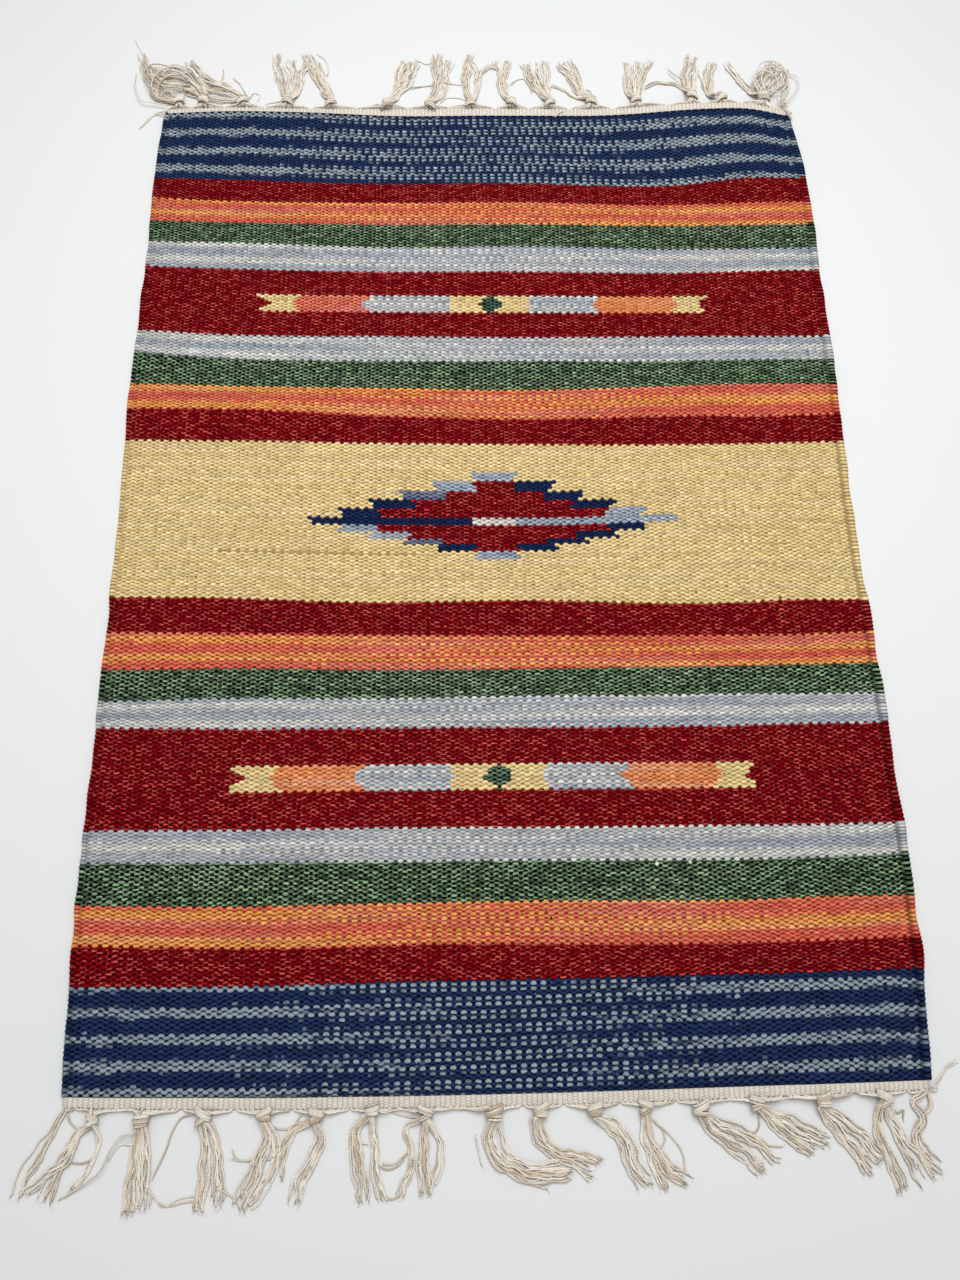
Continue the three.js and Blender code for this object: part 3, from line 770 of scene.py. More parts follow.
def heading(name, outward, material):
    """A heading as one closed cloth, with a rib on each warp and a scalloped outer edge."""
    u = np.linspace(HEADING_INSET, WARPS - HEADING_INSET, 2 * WARPS - 1)
    v = np.linspace(0, HEADING_PICKS, HEADING_PICKS * HEADING_ROWS_PER_PICK + 1)
    x, y, share = heading_plan(u, v, outward, SCALLOP)
    seed, *reach = HEADING_WANDER
    y += cloud((seed + outward, *reach), len(v), len(u))
    height = HEADING_TOP + (HEADING_OUTER_TOP - HEADING_TOP) * share**3
    height = height + HEADING_RELIEF * (np.abs(np.sin(np.pi * u)) - 0.5)
    height[[0, -1]] -= HEADING_EDGE_DROP
    top = np.stack([x, y, height + lift_at(x, y)], axis=2)
    side, end = HEADING_UNDERSIDE_INSETS
    side += HEADING_INSET
    low_u = np.linspace(side, WARPS - side, HEADING_UNDERSIDE_COLUMNS)
    low_v = np.array([end, HEADING_PICKS - end])
    low_x, low_y, _ = heading_plan(low_u, low_v, outward, 0)
    low = np.stack([low_x, low_y, lift_at(low_x, low_y)], axis=2)
    tuck = (HEADING_TUCK, HEADING_TUCK_HEIGHT)
    return cloth_piece(name, u, v, top, low_u, low_v, low, tuck, material)


# Tassels: the threads' shape

# In the map, each strand has a stretch of its own for the length run along it
STRAND_SPAN = 400
ROOT_TAPER = 0.6
TIP_TAPER = 0.5
FLOOR_GAP = 0.02
HAIR_SECTION = (1, 0.6, 0.8)
HAIR_TAPER = 0.7
# The turn the fine fibres are marked with: near a quarter turn, so they take the painted light of a
# thread's upper side
HAIR_FACING = 0.15


class Pile:
    """The threads of one piece."""

    def __init__(self):
        self.points = []
        self.faces = []
        self.marks = []
        self.strands = 0

    def tube(self, rings, marks):
        """Skins rings of points, closed at both ends. A ring has one mark more than points."""
        rings[:, :, 2] = np.maximum(rings[:, :, 2], FLOOR_GAP)
        sides = rings.shape[1]
        base = len(self.points)
        for r in range(len(rings) - 1):
            for s in range(sides):
                a = base + r * sides + s
                b = base + r * sides + (s + 1) % sides
                self.faces.append((a, b, b + sides, a + sides))
                here, there = marks[r], marks[r + 1]
                self.marks.extend((here[s], here[s + 1], there[s + 1], there[s]))
        end = base + (len(rings) - 1) * sides
        self.faces.append(tuple(range(base + sides - 1, base - 1, -1)))
        self.faces.append(tuple(range(end, end + sides)))
        for ring_marks in (marks[0], marks[-1]):
            self.marks.extend([(ring_marks[0][0], 0)] * sides)
        self.points.extend(rings.reshape(-1, 3))

    def thread(self, path, radius, turn):
        """A two-ply yarn along a path of points: its rings turn with the twist."""
        along = run_along(path)
        ahead = directions(path)
        side = np.cross(ahead, (0, 0, 1))
        side /= np.maximum(np.linalg.norm(side, axis=1), 1e-6)[:, None]
        over = np.cross(side, ahead)
        angle = np.arange(THREAD_SIDES) * 2 * math.pi / THREAD_SIDES
        spin = turn + 2 * math.pi * along / PLY_PITCH
        size = radius * (1 + PLY_DEPTH * np.cos(2 * angle)) * np.ones((len(path), 1))
        size[0] *= ROOT_TAPER
        size[-1] *= TIP_TAPER
        facing = (angle + spin[:, None])[:, :, None]
        outward = np.cos(facing) * side[:, None] + np.sin(facing) * over[:, None]
        self.strands += 1
        runs = self.strands * STRAND_SPAN + along
        turns = spin[:, None] / (2 * math.pi) + np.arange(THREAD_SIDES + 1) / THREAD_SIDES
        marks = [[(run, turned) for turned in row] for run, row in zip(runs, turns)]
        self.tube(path[:, None] + size[:, :, None] * outward, marks)

    def hair(self, path, radius):
        """A fine fibre, three-sided and pointed."""
        angle = np.arange(3) * 2 * math.pi / 3
        outward = np.stack([np.cos(angle), np.sin(angle), np.sin(angle)], axis=1) * HAIR_SECTION
        size = radius * (1 - HAIR_TAPER * np.linspace(0, 1, len(path)))
        start = self.strands * STRAND_SPAN
        marks = [[(start + r, HAIR_FACING)] * 4 for r in range(len(path))]
        self.tube(path[:, None] + size[:, None, None] * outward, marks)

    def build(self, name, material):
        return mesh_piece(name, self.points, self.faces, self.marks, material)


def route(points):
    """Evenly spaced points on a smooth curve through given ones."""
    points = np.asarray(points, float)
    along = run_along(points)
    count = max(4, int(along[-1] / THREAD_STEP))
    at = np.linspace(0, along[-1], count + 1)
    return np.stack([curve(at, along, points[:, c]) for c in range(3)], axis=1)


# Tassels: cut ends and knots

TIP_HAIRS = 3
TIP_HAIR_LENGTHS = (1.5, 4.0)
TIP_HAIR_BEND = 0.7
TIP_HAIR_RISE = (-0.3, 0.8)
TIP_HAIR_RADII = (0.16, 0.28)
TIP_HAIR_SET_BACK = 0.8
TIP_HAIR_LOWEST = 0.2

# The knot's two groups of turns: threads, place along the tassel, fullness, and the slant as a
# share of the knot's slant and an angle added to it
KNOT_TURNS = [
    (4, -1.1, 1.0, 1.0, 0.0),
    (3, 2.3, 0.8, -0.7, -0.2),
]
KNOT_SWEEP = 0.86 * math.pi
KNOT_SWEEP_STRAY = 0.05
KNOT_POINTS = 26
KNOT_PITCH = 1.2
KNOT_ROUNDNESS = 0.04
KNOT_STRAY = 0.2
KNOT_THREAD = 1.12
TWISTS = (0, 6)


def frayed_tip(pile, rng, path):
    """Loose fibres at the cut end of a strand."""
    end = path[-1]
    ahead = path[-1] - path[-3]
    ahead /= np.linalg.norm(ahead)
    side = np.array([-ahead[1], ahead[0], 0])
    t = np.linspace(0, 1, 4)[:, None]
    for _ in range(TIP_HAIRS):
        length = rng.uniform(*TIP_HAIR_LENGTHS)
        bend = rng.uniform(-TIP_HAIR_BEND, TIP_HAIR_BEND)
        hair = end - ahead * TIP_HAIR_SET_BACK + length * (t * ahead + bend * t**1.5 * side)
        hair[:, 2] = np.maximum(end[2] + rng.uniform(*TIP_HAIR_RISE) * t[:, 0], TIP_HAIR_LOWEST)
        pile.hair(hair, rng.uniform(*TIP_HAIR_RADII))


def knot_band(pile, rng, knot, outward, height):
    """Turns of thread that cross over the bundle: the knot as it shows from above."""
    knot_x, knot_y, size, slant, _ = knot
    for threads, offset, swell, slant_share, added in KNOT_TURNS:
        tilt = slant_share * math.radians(slant) + added
        for n in range(threads):
            from_middle = n - (threads - 1) / 2
            stray = rng.uniform(-KNOT_SWEEP_STRAY, KNOT_SWEEP_STRAY)
            sweep = np.linspace(-KNOT_SWEEP, KNOT_SWEEP, KNOT_POINTS) + stray
            bulge = swell * size * (1 - KNOT_ROUNDNESS * from_middle**2)
            x = KNOT_HALF_WIDTH * bulge * np.sin(sweep)
            along = (from_middle * KNOT_PITCH + offset) * size + x * math.tan(tilt)
            along += KNOT_STRAY * rng.standard_normal()
            z = height + KNOT_HALF_HEIGHT * bulge * np.cos(sweep)
            path = np.stack([knot_x + x, knot_y + outward * along, z], axis=1)
            pile.thread(path, THREAD_RADIUS * KNOT_THREAD, rng.uniform(*TWISTS))


# Tassels: the strands' routes

# A strand's way to its knot: share of the way sideways, how far past the edge and how much more
# in an upper layer, height, share of the rise to the knot and how much more in an upper layer
GATHER_WAY = [
    (0, -1.0, 0, 1.2, 0, 0),
    (0.06, 0.3, 0, 1.6, 0, 0),
    (0.32, 0.7, 0.6, 2.0, 0.16, 0),
    (0.68, 0.9, 1.1, 2.2, 0.27, 0.27),
]
LONG_REACH = 16
SHORT_REACH = 3
MOUTH_CLEARANCE = 0.5
MOUTH_BACK = 4.5
MOUTH_BACK_LESS = 1.5
MOUTH_SIDE = 0.6
MOUTH_SIDE_MORE = 1.7
MOUTH_DROP = 0.4
LOOSE_HEIGHT = 2.2

TIP_SPREAD = 0.35
TIP_LIMIT = 1.1
SETTLE_LENGTH = 11
SETTLE_SPREAD = 2.4
GROW_LENGTH = 12
# Sideways waves of a strand: size and pitch, the first as a share of the bundle's half width
WANDER = (0.16, 34)
CRINKLE = (0.32, 11)
BUNDLE_WAVE = (0.45, 19)
RIPPLE = (0.25, 17)
WAVE_STRETCH = (0.8, 1.3)
MOST_LAYERS = 4
LAYER_RISE = 0.85
FLOOR_CLEARANCE = 0.05
HEAP_FULLNESS = 0.7
HEAP_BASE = 0.6
LONG_CHANCE = 0.85
LONG_CUTS = (0.93, 1.0)
SHORT_CUTS = (0.75, 0.92)
FEWEST_POINTS = 5


def wave(rng, along, pitch):
    """A sideways wave of about one pitch, from a random start."""
    pitch = pitch * rng.uniform(*WAVE_STRETCH)
    return np.sin(2 * math.pi * (along / pitch + rng.random()))


def gather_path(rng, root, edge_y, knot, outward, pack, height):
    """From under the heading's edge, along it, and into the knot."""
    knot_x, knot_y, size, _, _ = knot
    reach = knot_x - root
    far = min(abs(reach) / LONG_REACH, 1)
    layer = rng.random()
    here = float(lift_at(root, edge_y))
    rise = height - here
    way = [
        (
            root + share * reach,
            edge_y + outward * (past + more_past * layer * far),
            here + above + rise * (climb + more_climb * layer),
        )
        for share, past, more_past, above, climb, more_climb in GATHER_WAY
    ]
    mouth_y = knot_y - outward * (MOUTH_BACK - MOUTH_BACK_LESS * far)
    mouth = (
        knot_x - math.copysign(MOUTH_SIDE + MOUTH_SIDE_MORE * far, reach) + pack[0] / 2,
        edge_y + outward * max(outward * (mouth_y - edge_y), MOUTH_CLEARANCE),
        height - MOUTH_DROP + pack[1] / 2,
    )
    middle = (knot_x + pack[0], knot_y, height + pack[1])
    if not size:
        return route([*way[:2], middle])
    if abs(reach) < SHORT_REACH:
        return route([*way[:2], mouth, middle])
    return route([*way, mouth, middle])


def bundle_path(rng, bundle, place, strands, height, phase):
    """One strand of a bundle, from the knot to its cut tip."""
    _, widths, heap, points = bundle
    middle = route(np.column_stack([points, np.zeros(len(points))]))[:, :2]
    along = run_along(middle)
    ahead = directions(middle)
    side = np.stack([ahead[:, 1], -ahead[:, 0]], axis=1)
    t = along / along[-1]
    width = curve(t, (0, 0.5, 1), widths)
    tip_place = np.clip(place + rng.normal(0, TIP_SPREAD), -TIP_LIMIT, TIP_LIMIT)
    offset = (place + (tip_place - place) * t) * width / 2
    grown = np.clip(along / GROW_LENGTH, 0, 1)
    sway = WANDER[0] * width * 0.5 * wave(rng, along, WANDER[1])
    sway += CRINKLE[0] * wave(rng, along, CRINKLE[1])
    sway += BUNDLE_WAVE[0] * np.sin(2 * math.pi * (along / BUNDLE_WAVE[1] + phase))
    flat = middle + side * (offset + grown * sway)[:, None]
    thick = 2 * THREAD_RADIUS
    layers = np.clip(strands * thick / (width + thick), 1, MOST_LAYERS) - 1
    level = rng.random() * (1 - 0.5 * place * place)
    rest = THREAD_RADIUS + FLOOR_CLEARANCE + level * layers * thick * LAYER_RISE
    swell = np.sin(math.pi * np.clip(t, 0, 1)) ** HEAP_FULLNESS
    rest += heap * swell * (HEAP_BASE + (1 - HEAP_BASE) * level)
    rest += RIPPLE[0] * grown * (1 + wave(rng, along, RIPPLE[1]))
    settle = np.clip(1 - along / SETTLE_LENGTH, 0, 1) ** 1.5
    z = rest * (1 - settle) + (height + SETTLE_SPREAD * (level - 0.5)) * settle
    cuts = LONG_CUTS if rng.random() < LONG_CHANCE else SHORT_CUTS
    last = max(FEWEST_POINTS, int(len(t) * rng.uniform(*cuts)))
    return np.column_stack([flat, z])[:last]


def inside_cloth(x, y):
    """Whether a place is over the woven cloth, its headings included."""
    left = curve(y, column(SIDES, 0), column(SIDES, 1))
    right = curve(y, column(SIDES, 0), column(SIDES, 2))
    far = curve(x, column(FAR_END, 0), column(FAR_END, 2))
    near = curve(x, column(NEAR_END, 0), column(NEAR_END, 2))
    return (x > left) & (x < right) & (y < far) & (y > near)


# Tassels: one piece each

SPARE_STEP = 1.6
SPARE_START = 0.9
ROOT_STRAY = 3.5
ROOT_SEED = 60
FAR_SEED = 50
PLACE_STRAY = 0.15
PACK_WIDTH = 1.9
LEAST_PACK = 0.5
PACK_HEIGHT = 1.5
STRAND_SIZES = (0.9, 1.12)
STRAY_SIZE = 0.95
STRAY_ROOT_HEIGHT = 2.6
STRAY_ON_CLOTH = 0.7
STRAY_ON_FLOOR = 0.1
LIFT_SHARE = 0.7
SMALL_KNOT = 0.4
TANGLE_START = 0.12


def tassel_roots(tassels, outward):
    """The warp ends that go to each tassel: about the nearest knot takes them.

    Some warps are double, so spare ends stand among those of the counted warps.
    """
    warps = np.arange(WARPS) + 0.5
    spare = np.arange(0, WARPS, SPARE_STEP) + SPARE_START
    x, _, edge = end_edge(np.sort(np.concatenate([warps, spare])), outward)
    knots = np.array([t[0] for t in tassels])
    pulled = x + np.random.default_rng(SEED + ROOT_SEED).normal(0, ROOT_STRAY, len(x))
    owner = np.abs(pulled[:, None] - knots[None, :]).argmin(axis=1)
    return [[(x[i], edge[i]) for i in np.flatnonzero(owner == n)] for n in range(len(tassels))]


def stray_path(points, root_lift):
    """A single thread's way, on the floor, on the cloth, or over the tangle if it is long."""
    flat = np.array(points, float)
    on_cloth = inside_cloth(flat[:, 0], flat[:, 1])
    z = np.where(on_cloth, CLOTH_TOP + STRAY_ON_CLOTH, STRAY_ON_FLOOR) + THREAD_RADIUS
    z = z + lift_at(flat[:, 0], flat[:, 1])
    if not on_cloth.any():
        z[0] = STRAY_ROOT_HEIGHT + root_lift
        if len(points) > TANGLE_POINTS:
            z += TANGLE_HEIGHT * np.sin(np.linspace(TANGLE_START, 1, len(points)) * math.pi)
    return route(np.column_stack([flat, z]))


def tassel_piece(name, number, tassel, roots, outward, strays, material):
    """A tassel: its bundles of strands, the knot they pass through, and its stray threads."""
    rng = np.random.default_rng(SEED * 100 + number + (FAR_SEED if outward > 0 else 0))
    pile = Pile()
    knot_x, _, size, _, bundles = tassel
    root_lift = float(lift_at(knot_x, roots[0][1])) * LIFT_SHARE
    height = root_lift + LOOSE_HEIGHT
    if size:
        height = root_lift + KNOT_CENTRE_HEIGHT * (SMALL_KNOT + (1 - SMALL_KNOT) * size)
    ends = np.cumsum([bundle[0] for bundle in bundles]) * len(roots)
    order = rng.permutation(len(roots))
    for bundle, first, last in zip(bundles, [0, *ends[:-1]], ends):
        # Strands keep their order across the tassel as they leave the knot
        members = sorted(order[int(round(first)) : int(round(last))])
        phase = rng.random()
        for n, member in enumerate(members):
            place = (n + 0.5) / len(members) * 2 - 1
            place = float(np.clip(place + rng.uniform(-PLACE_STRAY, PLACE_STRAY), -1, 1))
            pack_x = place * PACK_WIDTH * max(size, LEAST_PACK)
            pack = (pack_x, rng.uniform(-PACK_HEIGHT, PACK_HEIGHT) * size)
            gather = gather_path(rng, *roots[member], tassel, outward, pack, height)
            fall = bundle_path(rng, bundle, outward * place, len(members), height, phase)
            path = np.concatenate([gather, fall])
            pile.thread(path, THREAD_RADIUS * rng.uniform(*STRAND_SIZES), rng.uniform(*TWISTS))
            frayed_tip(pile, rng, path)
    if size:
        knot_band(pile, rng, tassel, outward, height)
    for owner, points in strays:
        if owner == number:
            path = stray_path(points, root_lift)
            pile.thread(path, THREAD_RADIUS * STRAY_SIZE, rng.uniform(*TWISTS))
            frayed_tip(pile, rng, path)
    return pile.build(name, material)


# Material nodes

# Noises on the loom: cycles a warp, cycles a pick, octaves and roughness
NOISES = {
    "lean": (1 / 21, 1 / 17, 1, 0.5),
    "shake": (1 / 1.7, 1 / 2.3, 1, 0.5),
    "dye": (1 / 5, 1.91, 2, 0.6),
    "streak": (1 / 2.4, 7.31, 3, 0.65),
    "length": (1 / 26, 3.17, 1, 0.5),
    "fibre": (5, 3, 3, 0.7),
    "slack": (1 / 2.6, 1.37, 1, 0.5),
    "band": (1 / 45, 1 / 4.5, 2, 0.5),
    "segment": (1 / 5.5, 2.3, 1, 0.5),
    "line": (1 / 5.5, 5.3, 2, 0.5),
    # On threads: cycles a millimetre and cycles a strand
    "patch": (1 / 9, 3.7, 2, 0.5),
    "fuzz": (1.7, 5.3, 2, 0.6),
}
FULL_TURN = 2 * math.pi

def linear(colour):
    """A colour of 0 to 255 as the renderer's linear values."""
    shares = [c / 255 for c in colour]
    return [s / 12.92 if s <= 0.04045 else ((s + 0.055) / 1.055) ** 2.4 for s in shares]


class Wire:
    """A number that flows through a material. Arithmetic on it adds Math nodes."""

    def __init__(self, graph, socket):
        self.graph = graph
        self.socket = socket

    def __add__(self, other):
        return self.graph.math("ADD", self, other)

    def __sub__(self, other):
        return self.graph.math("SUBTRACT", self, other)

    def __rsub__(self, other):
        return self.graph.math("SUBTRACT", other, self)

    def __mul__(self, other):
        return self.graph.math("MULTIPLY", self, other)

    def __truediv__(self, other):
        return self.graph.math("DIVIDE", self, other)

    def over(self, limit):
        return self.graph.math("GREATER_THAN", self, limit)

    def under(self, limit):
        return self.graph.math("LESS_THAN", self, limit)

    def most(self, other):
        return self.graph.math("MAXIMUM", self, other)

    def floor(self):
        return self.graph.math("FLOOR", self)

    def size(self):
        return self.graph.math("ABSOLUTE", self)

    def part(self):
        return self.graph.math("FRACT", self)

    def within(self):
        """The number kept between 0 and 1."""
        wire = self + 0
        wire.socket.node.use_clamp = True
        return wire

    def rise(self, start, steep):
        """0 up to the start, and rising to 1 after it."""
        return ((self - start) * steep).within()


class Graph:
    """A material's node tree, written as arithmetic."""

    def __init__(self, name):
        self.material = bpy.data.materials.new(name)
        self.material.use_nodes = True
        self.tree = self.material.node_tree
        self.shader = self.tree.nodes["Principled BSDF"]

    def join(self, source, target):
        """Links a wire or socket to a socket, or gives the socket a plain value."""
        if isinstance(source, Wire):
            source = source.socket
        if isinstance(source, bpy.types.NodeSocket):
            self.tree.links.new(source, target)
        else:
            target.default_value = source

    def math(self, operation, *inputs):
        node = self.tree.nodes.new("ShaderNodeMath")
        node.operation = operation
        for value, socket in zip(inputs, node.inputs):
            self.join(value, socket)
        return Wire(self, node.outputs[0])

    def choose(self, switch, off, on):
        """off where the switch is 0, on where it is 1."""
        node = self.tree.nodes.new("ShaderNodeMix")
        node.data_type = "FLOAT"
        self.join(switch, node.inputs[0])
        self.join(off, node.inputs[2])
        self.join(on, node.inputs[3])
        return Wire(self, node.outputs[0])

    def mix(self, share, first, second, way="MIX"):
        """Two colours, mixed."""
        node = self.tree.nodes.new("ShaderNodeMix")
        node.data_type = "RGBA"
        node.blend_type = way
        self.join(share, node.inputs[0])
        for colour, socket in ((first, node.inputs[6]), (second, node.inputs[7])):
            if not isinstance(colour, bpy.types.NodeSocket):
                colour = (*linear(colour), 1)
            self.join(colour, socket)
        return node.outputs[2]

    def scaled(self, colour, value):
        """A colour made lighter or darker by a number."""
        return self.mix(1.0, colour, self.vector(value, value, value), "MULTIPLY")

    def place(self):
        """The place on the loom: across and along."""
        node = self.tree.nodes.new("ShaderNodeUVMap")
        node.uv_map = LOOM_MAP
        split = self.tree.nodes.new("ShaderNodeSeparateXYZ")
        self.tree.links.new(node.outputs[0], split.inputs[0])
        return Wire(self, split.outputs[0]), Wire(self, split.outputs[1])

    def vector(self, x, y, z=0.0):
        node = self.tree.nodes.new("ShaderNodeCombineXYZ")
        for value, socket in zip((x, y, z), node.inputs):
            self.join(value, socket)
        return node.outputs[0]

    def noise(self, kind, x, y):
        """Smooth noise about a half, as the table of noises has it."""
        x_rate, y_rate, octaves, roughness = NOISES[kind]
        node = self.tree.nodes.new("ShaderNodeTexNoise")
        node.noise_dimensions = "2D"
        self.tree.links.new(self.vector(x * x_rate, y * y_rate), node.inputs["Vector"])
        node.inputs["Scale"].default_value = 1
        node.inputs["Detail"].default_value = octaves
        node.inputs["Roughness"].default_value = roughness
        return Wire(self, node.outputs[0])

    def chance(self, x, y):
        """A different number from 0 to 1 in each cell."""
        node = self.tree.nodes.new("ShaderNodeTexWhiteNoise")
        node.noise_dimensions = "2D"
        self.tree.links.new(self.vector(x, y), node.inputs["Vector"])
        return Wire(self, node.outputs[0])

    def ramp(self, at, stops, steps):
        """A colour ramp through stops of place and linear colour, in steps or smooth."""
        node = self.tree.nodes.new("ShaderNodeValToRGB")
        ramp = node.color_ramp
        ramp.interpolation = "CONSTANT" if steps else "LINEAR"
        while len(ramp.elements) < len(stops):
            ramp.elements.new(1.0)
        for element, (place, colour) in zip(ramp.elements, stops):
            element.position = place
            element.color = (*colour, 1)
        self.join(at, node.inputs[0])
        return node.outputs[0]

    def channels(self, colour):
        """The three numbers that a colour holds."""
        node = self.tree.nodes.new("ShaderNodeSeparateColor")
        self.tree.links.new(colour, node.inputs[0])
        return [Wire(self, output) for output in node.outputs[:3]]

    def finish(self, colour, height, strength, distance, roughness):
        """The material of a dull fibre with a colour and a bump height in millimetres."""
        bump = self.tree.nodes.new("ShaderNodeBump")
        bump.inputs["Strength"].default_value = strength
        bump.inputs["Distance"].default_value = distance * MM
        self.join(height, bump.inputs["Height"])
        self.tree.links.new(bump.outputs[0], self.shader.inputs["Normal"])
        self.join(colour, self.shader.inputs["Base Color"])
        self.shader.inputs["Roughness"].default_value = roughness
        self.shader.inputs["Specular IOR Level"].default_value = FIBRE_SPECULAR
        return self.material


# The weave

FIBRE_SPECULAR = 0.03
BEAD_WOBBLE = 0.14
BEAD_BEND = 0.15
BEAD_LEAN = 0.9
BEAD_SHAKE = 1.1
# The crown: its profile is the bead's bump and also where painted shade falls towards the gaps; it sits
# a little towards the far side, so each bead is painted darker on its near side
CROWN_SHIFT = 0.12
CROWN_HEIGHT = 1.04
CROWN_SIDE_DROP = 0.36
CROWN_END_DROP = 0.80


def beads(graph, u, v):
    """Which bead of weft a place is on: its warp, its pick, and the place in it.

    A bead bends towards its neighbours, so that the picks read as wavy lines, and leans
    one way or the other as the weft was pulled.
    """
    turn = graph.math("COSINE", (v - 0.5 - (u + 0.5).floor()) * math.pi)
    shifted = u + turn * BEAD_WOBBLE
    warp = shifted.floor()
    odd = graph.math("FLOORED_MODULO", warp, 2)
    side = shifted - warp - 0.5
    bend = (1 - graph.math("COSINE", side * math.pi)) * (odd * 2 - 1) * BEAD_BEND
    lean = side * (graph.noise("lean", u, v) - 0.5) * BEAD_LEAN
    moved = v + bend + lean + (graph.noise("shake", u, v) - 0.5) * BEAD_SHAKE
    pick = ((moved - odd + 0.5) * 0.5).floor() * 2 + odd
    along = moved - 0.5 - pick
    return warp, pick, odd, side, along


def crown(side, along, loose):
    """1 on the crown of a bead and 0 in the painted shade of the gap round it; loose beads have wider
    gaps.
    """
    wide = (side * 2) * (side * 2)
    leaned = along + CROWN_SHIFT
    tall = leaned * leaned * loose
    return (CROWN_HEIGHT - wide * wide * CROWN_SIDE_DROP - tall * tall * CROWN_END_DROP).within()


def yarn_number(name):
    return YARN_NAMES.index(name)


def stripe_facts(graph, pick):
    """Yarn number, dye pace and dye offset of the stripe that a pick belongs to."""
    rows = []
    start = 0
    for yarn, count, centre, drift, _ in STRIPES:
        pace = 0.5 * (1 + drift)
        even = 2 * round((start + centre) / 2)
        rows.append((start, Vector((yarn_number(yarn), pace, pace * even % 1))))
        start += count
    facts = tuple(rows[0][1])
    for (_, before), (first, after) in zip(rows, rows[1:]):
        step = graph.tree.nodes.new("ShaderNodeVectorMath")
        step.operation = "MULTIPLY_ADD"
        graph.join(pick.over(first - 0.5), step.inputs[0])
        graph.join(tuple(after - before), step.inputs[1])
        graph.join(facts, step.inputs[2])
        facts = step.outputs[0]
    split = graph.tree.nodes.new("ShaderNodeSeparateXYZ")
    graph.join(facts, split.inputs[0])
    return [Wire(graph, output) for output in split.outputs]


MEDALLION_REACH = 60


def medallion(graph, warp, pick, yarn):
    """The stepped medallion in the middle: the yarn number with the motif laid in."""
    centre_x, centre_y = MEDALLION_CENTRE
    middle = warp_at(centre_x, centre_y)
    pitch = warp_at(1, centre_y) - warp_at(0, centre_y)
    pitch_y = pick_at(centre_y - 1) - pick_at(centre_y)
    far = MEDALLION[0][0]
    near = MEDALLION[-1][1]
    first = pick_at(centre_y) - far * pitch_y
    span = (far - near) * pitch_y
    at = (pick - first + 0.5) / span
    shapes = {"left": [], "right": []}
    yarns = []
    count = len(YARN_NAMES)
    for row in MEDALLION:
        top = (far - row[0]) / (far - near)
        bottom = (far - row[1]) / (far - near) - 0.001
        for side, (inner_far, inner_near, outer_far, outer_near) in (
            ("left", row[3:7]),
            ("right", row[8:12]),
        ):
            scale = pitch / MEDALLION_REACH
            shapes[side].append((top, (inner_far * scale, outer_far * scale, 0)))
            shapes[side].append((bottom, (inner_near * scale, outer_near * scale, 0)))
        codes = [(yarn_number(name) + 0.5) / count for name in (row[2], row[7], row[12])]
        yarns.append((top, codes))
    left_inner, left_outer, _ = graph.channels(graph.ramp(at, shapes["left"], False))
    right_inner, right_outer, _ = graph.channels(graph.ramp(at, shapes["right"], False))
    left_yarn, right_yarn, middle_yarn = graph.channels(graph.ramp(at, yarns, True))
    offset = warp + 0.5 - middle
    right = offset.over(0)
    reach = offset.size() / MEDALLION_REACH
    outer = graph.choose(right, left_outer, right_outer)
    inner = graph.choose(right, left_inner, right_inner)
    code = graph.choose(right, left_yarn, right_yarn)
    code = graph.choose(reach.under(inner), code, middle_yarn)
    inside = reach.under(outer) * at.over(0) * at.under(1)
    return graph.choose(inside, yarn, (code * count).floor())


LEAF_SLOPE = 0.92


def bar(graph, warp, pick, yarn, table):
    """A bar of small motifs: the yarn number with the bar laid in."""
    middle_y = (table["far"] + table["near"]) / 2
    first = pick_at(table["far"])
    last = pick_at(table["near"])
    pitch = warp_at(1, middle_y) - warp_at(0, middle_y)
    from_middle = ((pick + 0.5 - (first + last) / 2) / ((last - first) / 2)).size()
    place = warp + 0.5
    before = total = yarn_number("red")
    for x, swell, name in table["parts"]:
        after = yarn_number(name)
        edge = (1 - from_middle) * (swell * pitch) + warp_at(x, middle_y)
        total = place.over(edge) * (after - before) + total
        before = after
    leaf_x, leaf_reach = table["leaf"]
    from_leaf = (place - warp_at(leaf_x, middle_y)).size() / (leaf_reach * pitch)
    leaf = (from_leaf + from_middle * LEAF_SLOPE).under(1)
    total = graph.choose(leaf, total, yarn_number("leaf"))
    return graph.choose(from_middle.under(1), yarn, total)


# The wool

DYE_WANDER = 0.42
STREAK_START = 0.62
STREAK_SHARE = 0.36
STREAK_COVER = 0.9
DARK_FLECKS = 0.9968
DARK_FLECK_TONE = (46, 38, 34)
# Pale fibre; on the bead crowns it is also a painted highlight
PALE_FIBRE_AND_HIGHLIGHT = (246, 232, 214)
PALE_BANDS = 1.8
EDGE_DARKNESS = 0.62
TIGHT_GAPS = 0.65
# How much each cause lightens the wool, over the base
BASE_LIGHT = 0.37
BEAD_LIGHT = 0.32
LENGTH_LIGHT = 0.5
FIBRE_LIGHT = 0.40
SEGMENT_LIGHT = 1.2
TWIST_RELIEF = 0.06
FIBRE_RELIEF = 0.30

# Painted shade in the grooves inside the edge cords: the warp, the cord's width, the way in, and how
# dark the shade is
GROOVES = [
    (1, LEFT_CORD, 1, 0.30),
    (WARPS - 1, RIGHT_CORD, -1, 0.74),
]
GROOVE_HALF_WIDTH = 2.6
GROOVE_FAR_SHARE = 0.4
WARP_PITCH = 3.5
PICK_PITCH = 1.6
# One brown pick in the cream: y, and x from and to
DOTTED_PICK = (-29, -220, -60)
DOTTED_TONE = (128, 88, 48)
DOTTED_COVER = 0.6
# Fluff and flecks on the wool: x, y, half width, tone
SPOTS = [
    (114, -272.7, 1.8, (236, 236, 232)),
    (138, -271.6, 1.5, (232, 232, 228)),
    (36, -310, 1.3, (30, 26, 24)),
    (228, -68, 1.6, (74, 60, 46)),
]


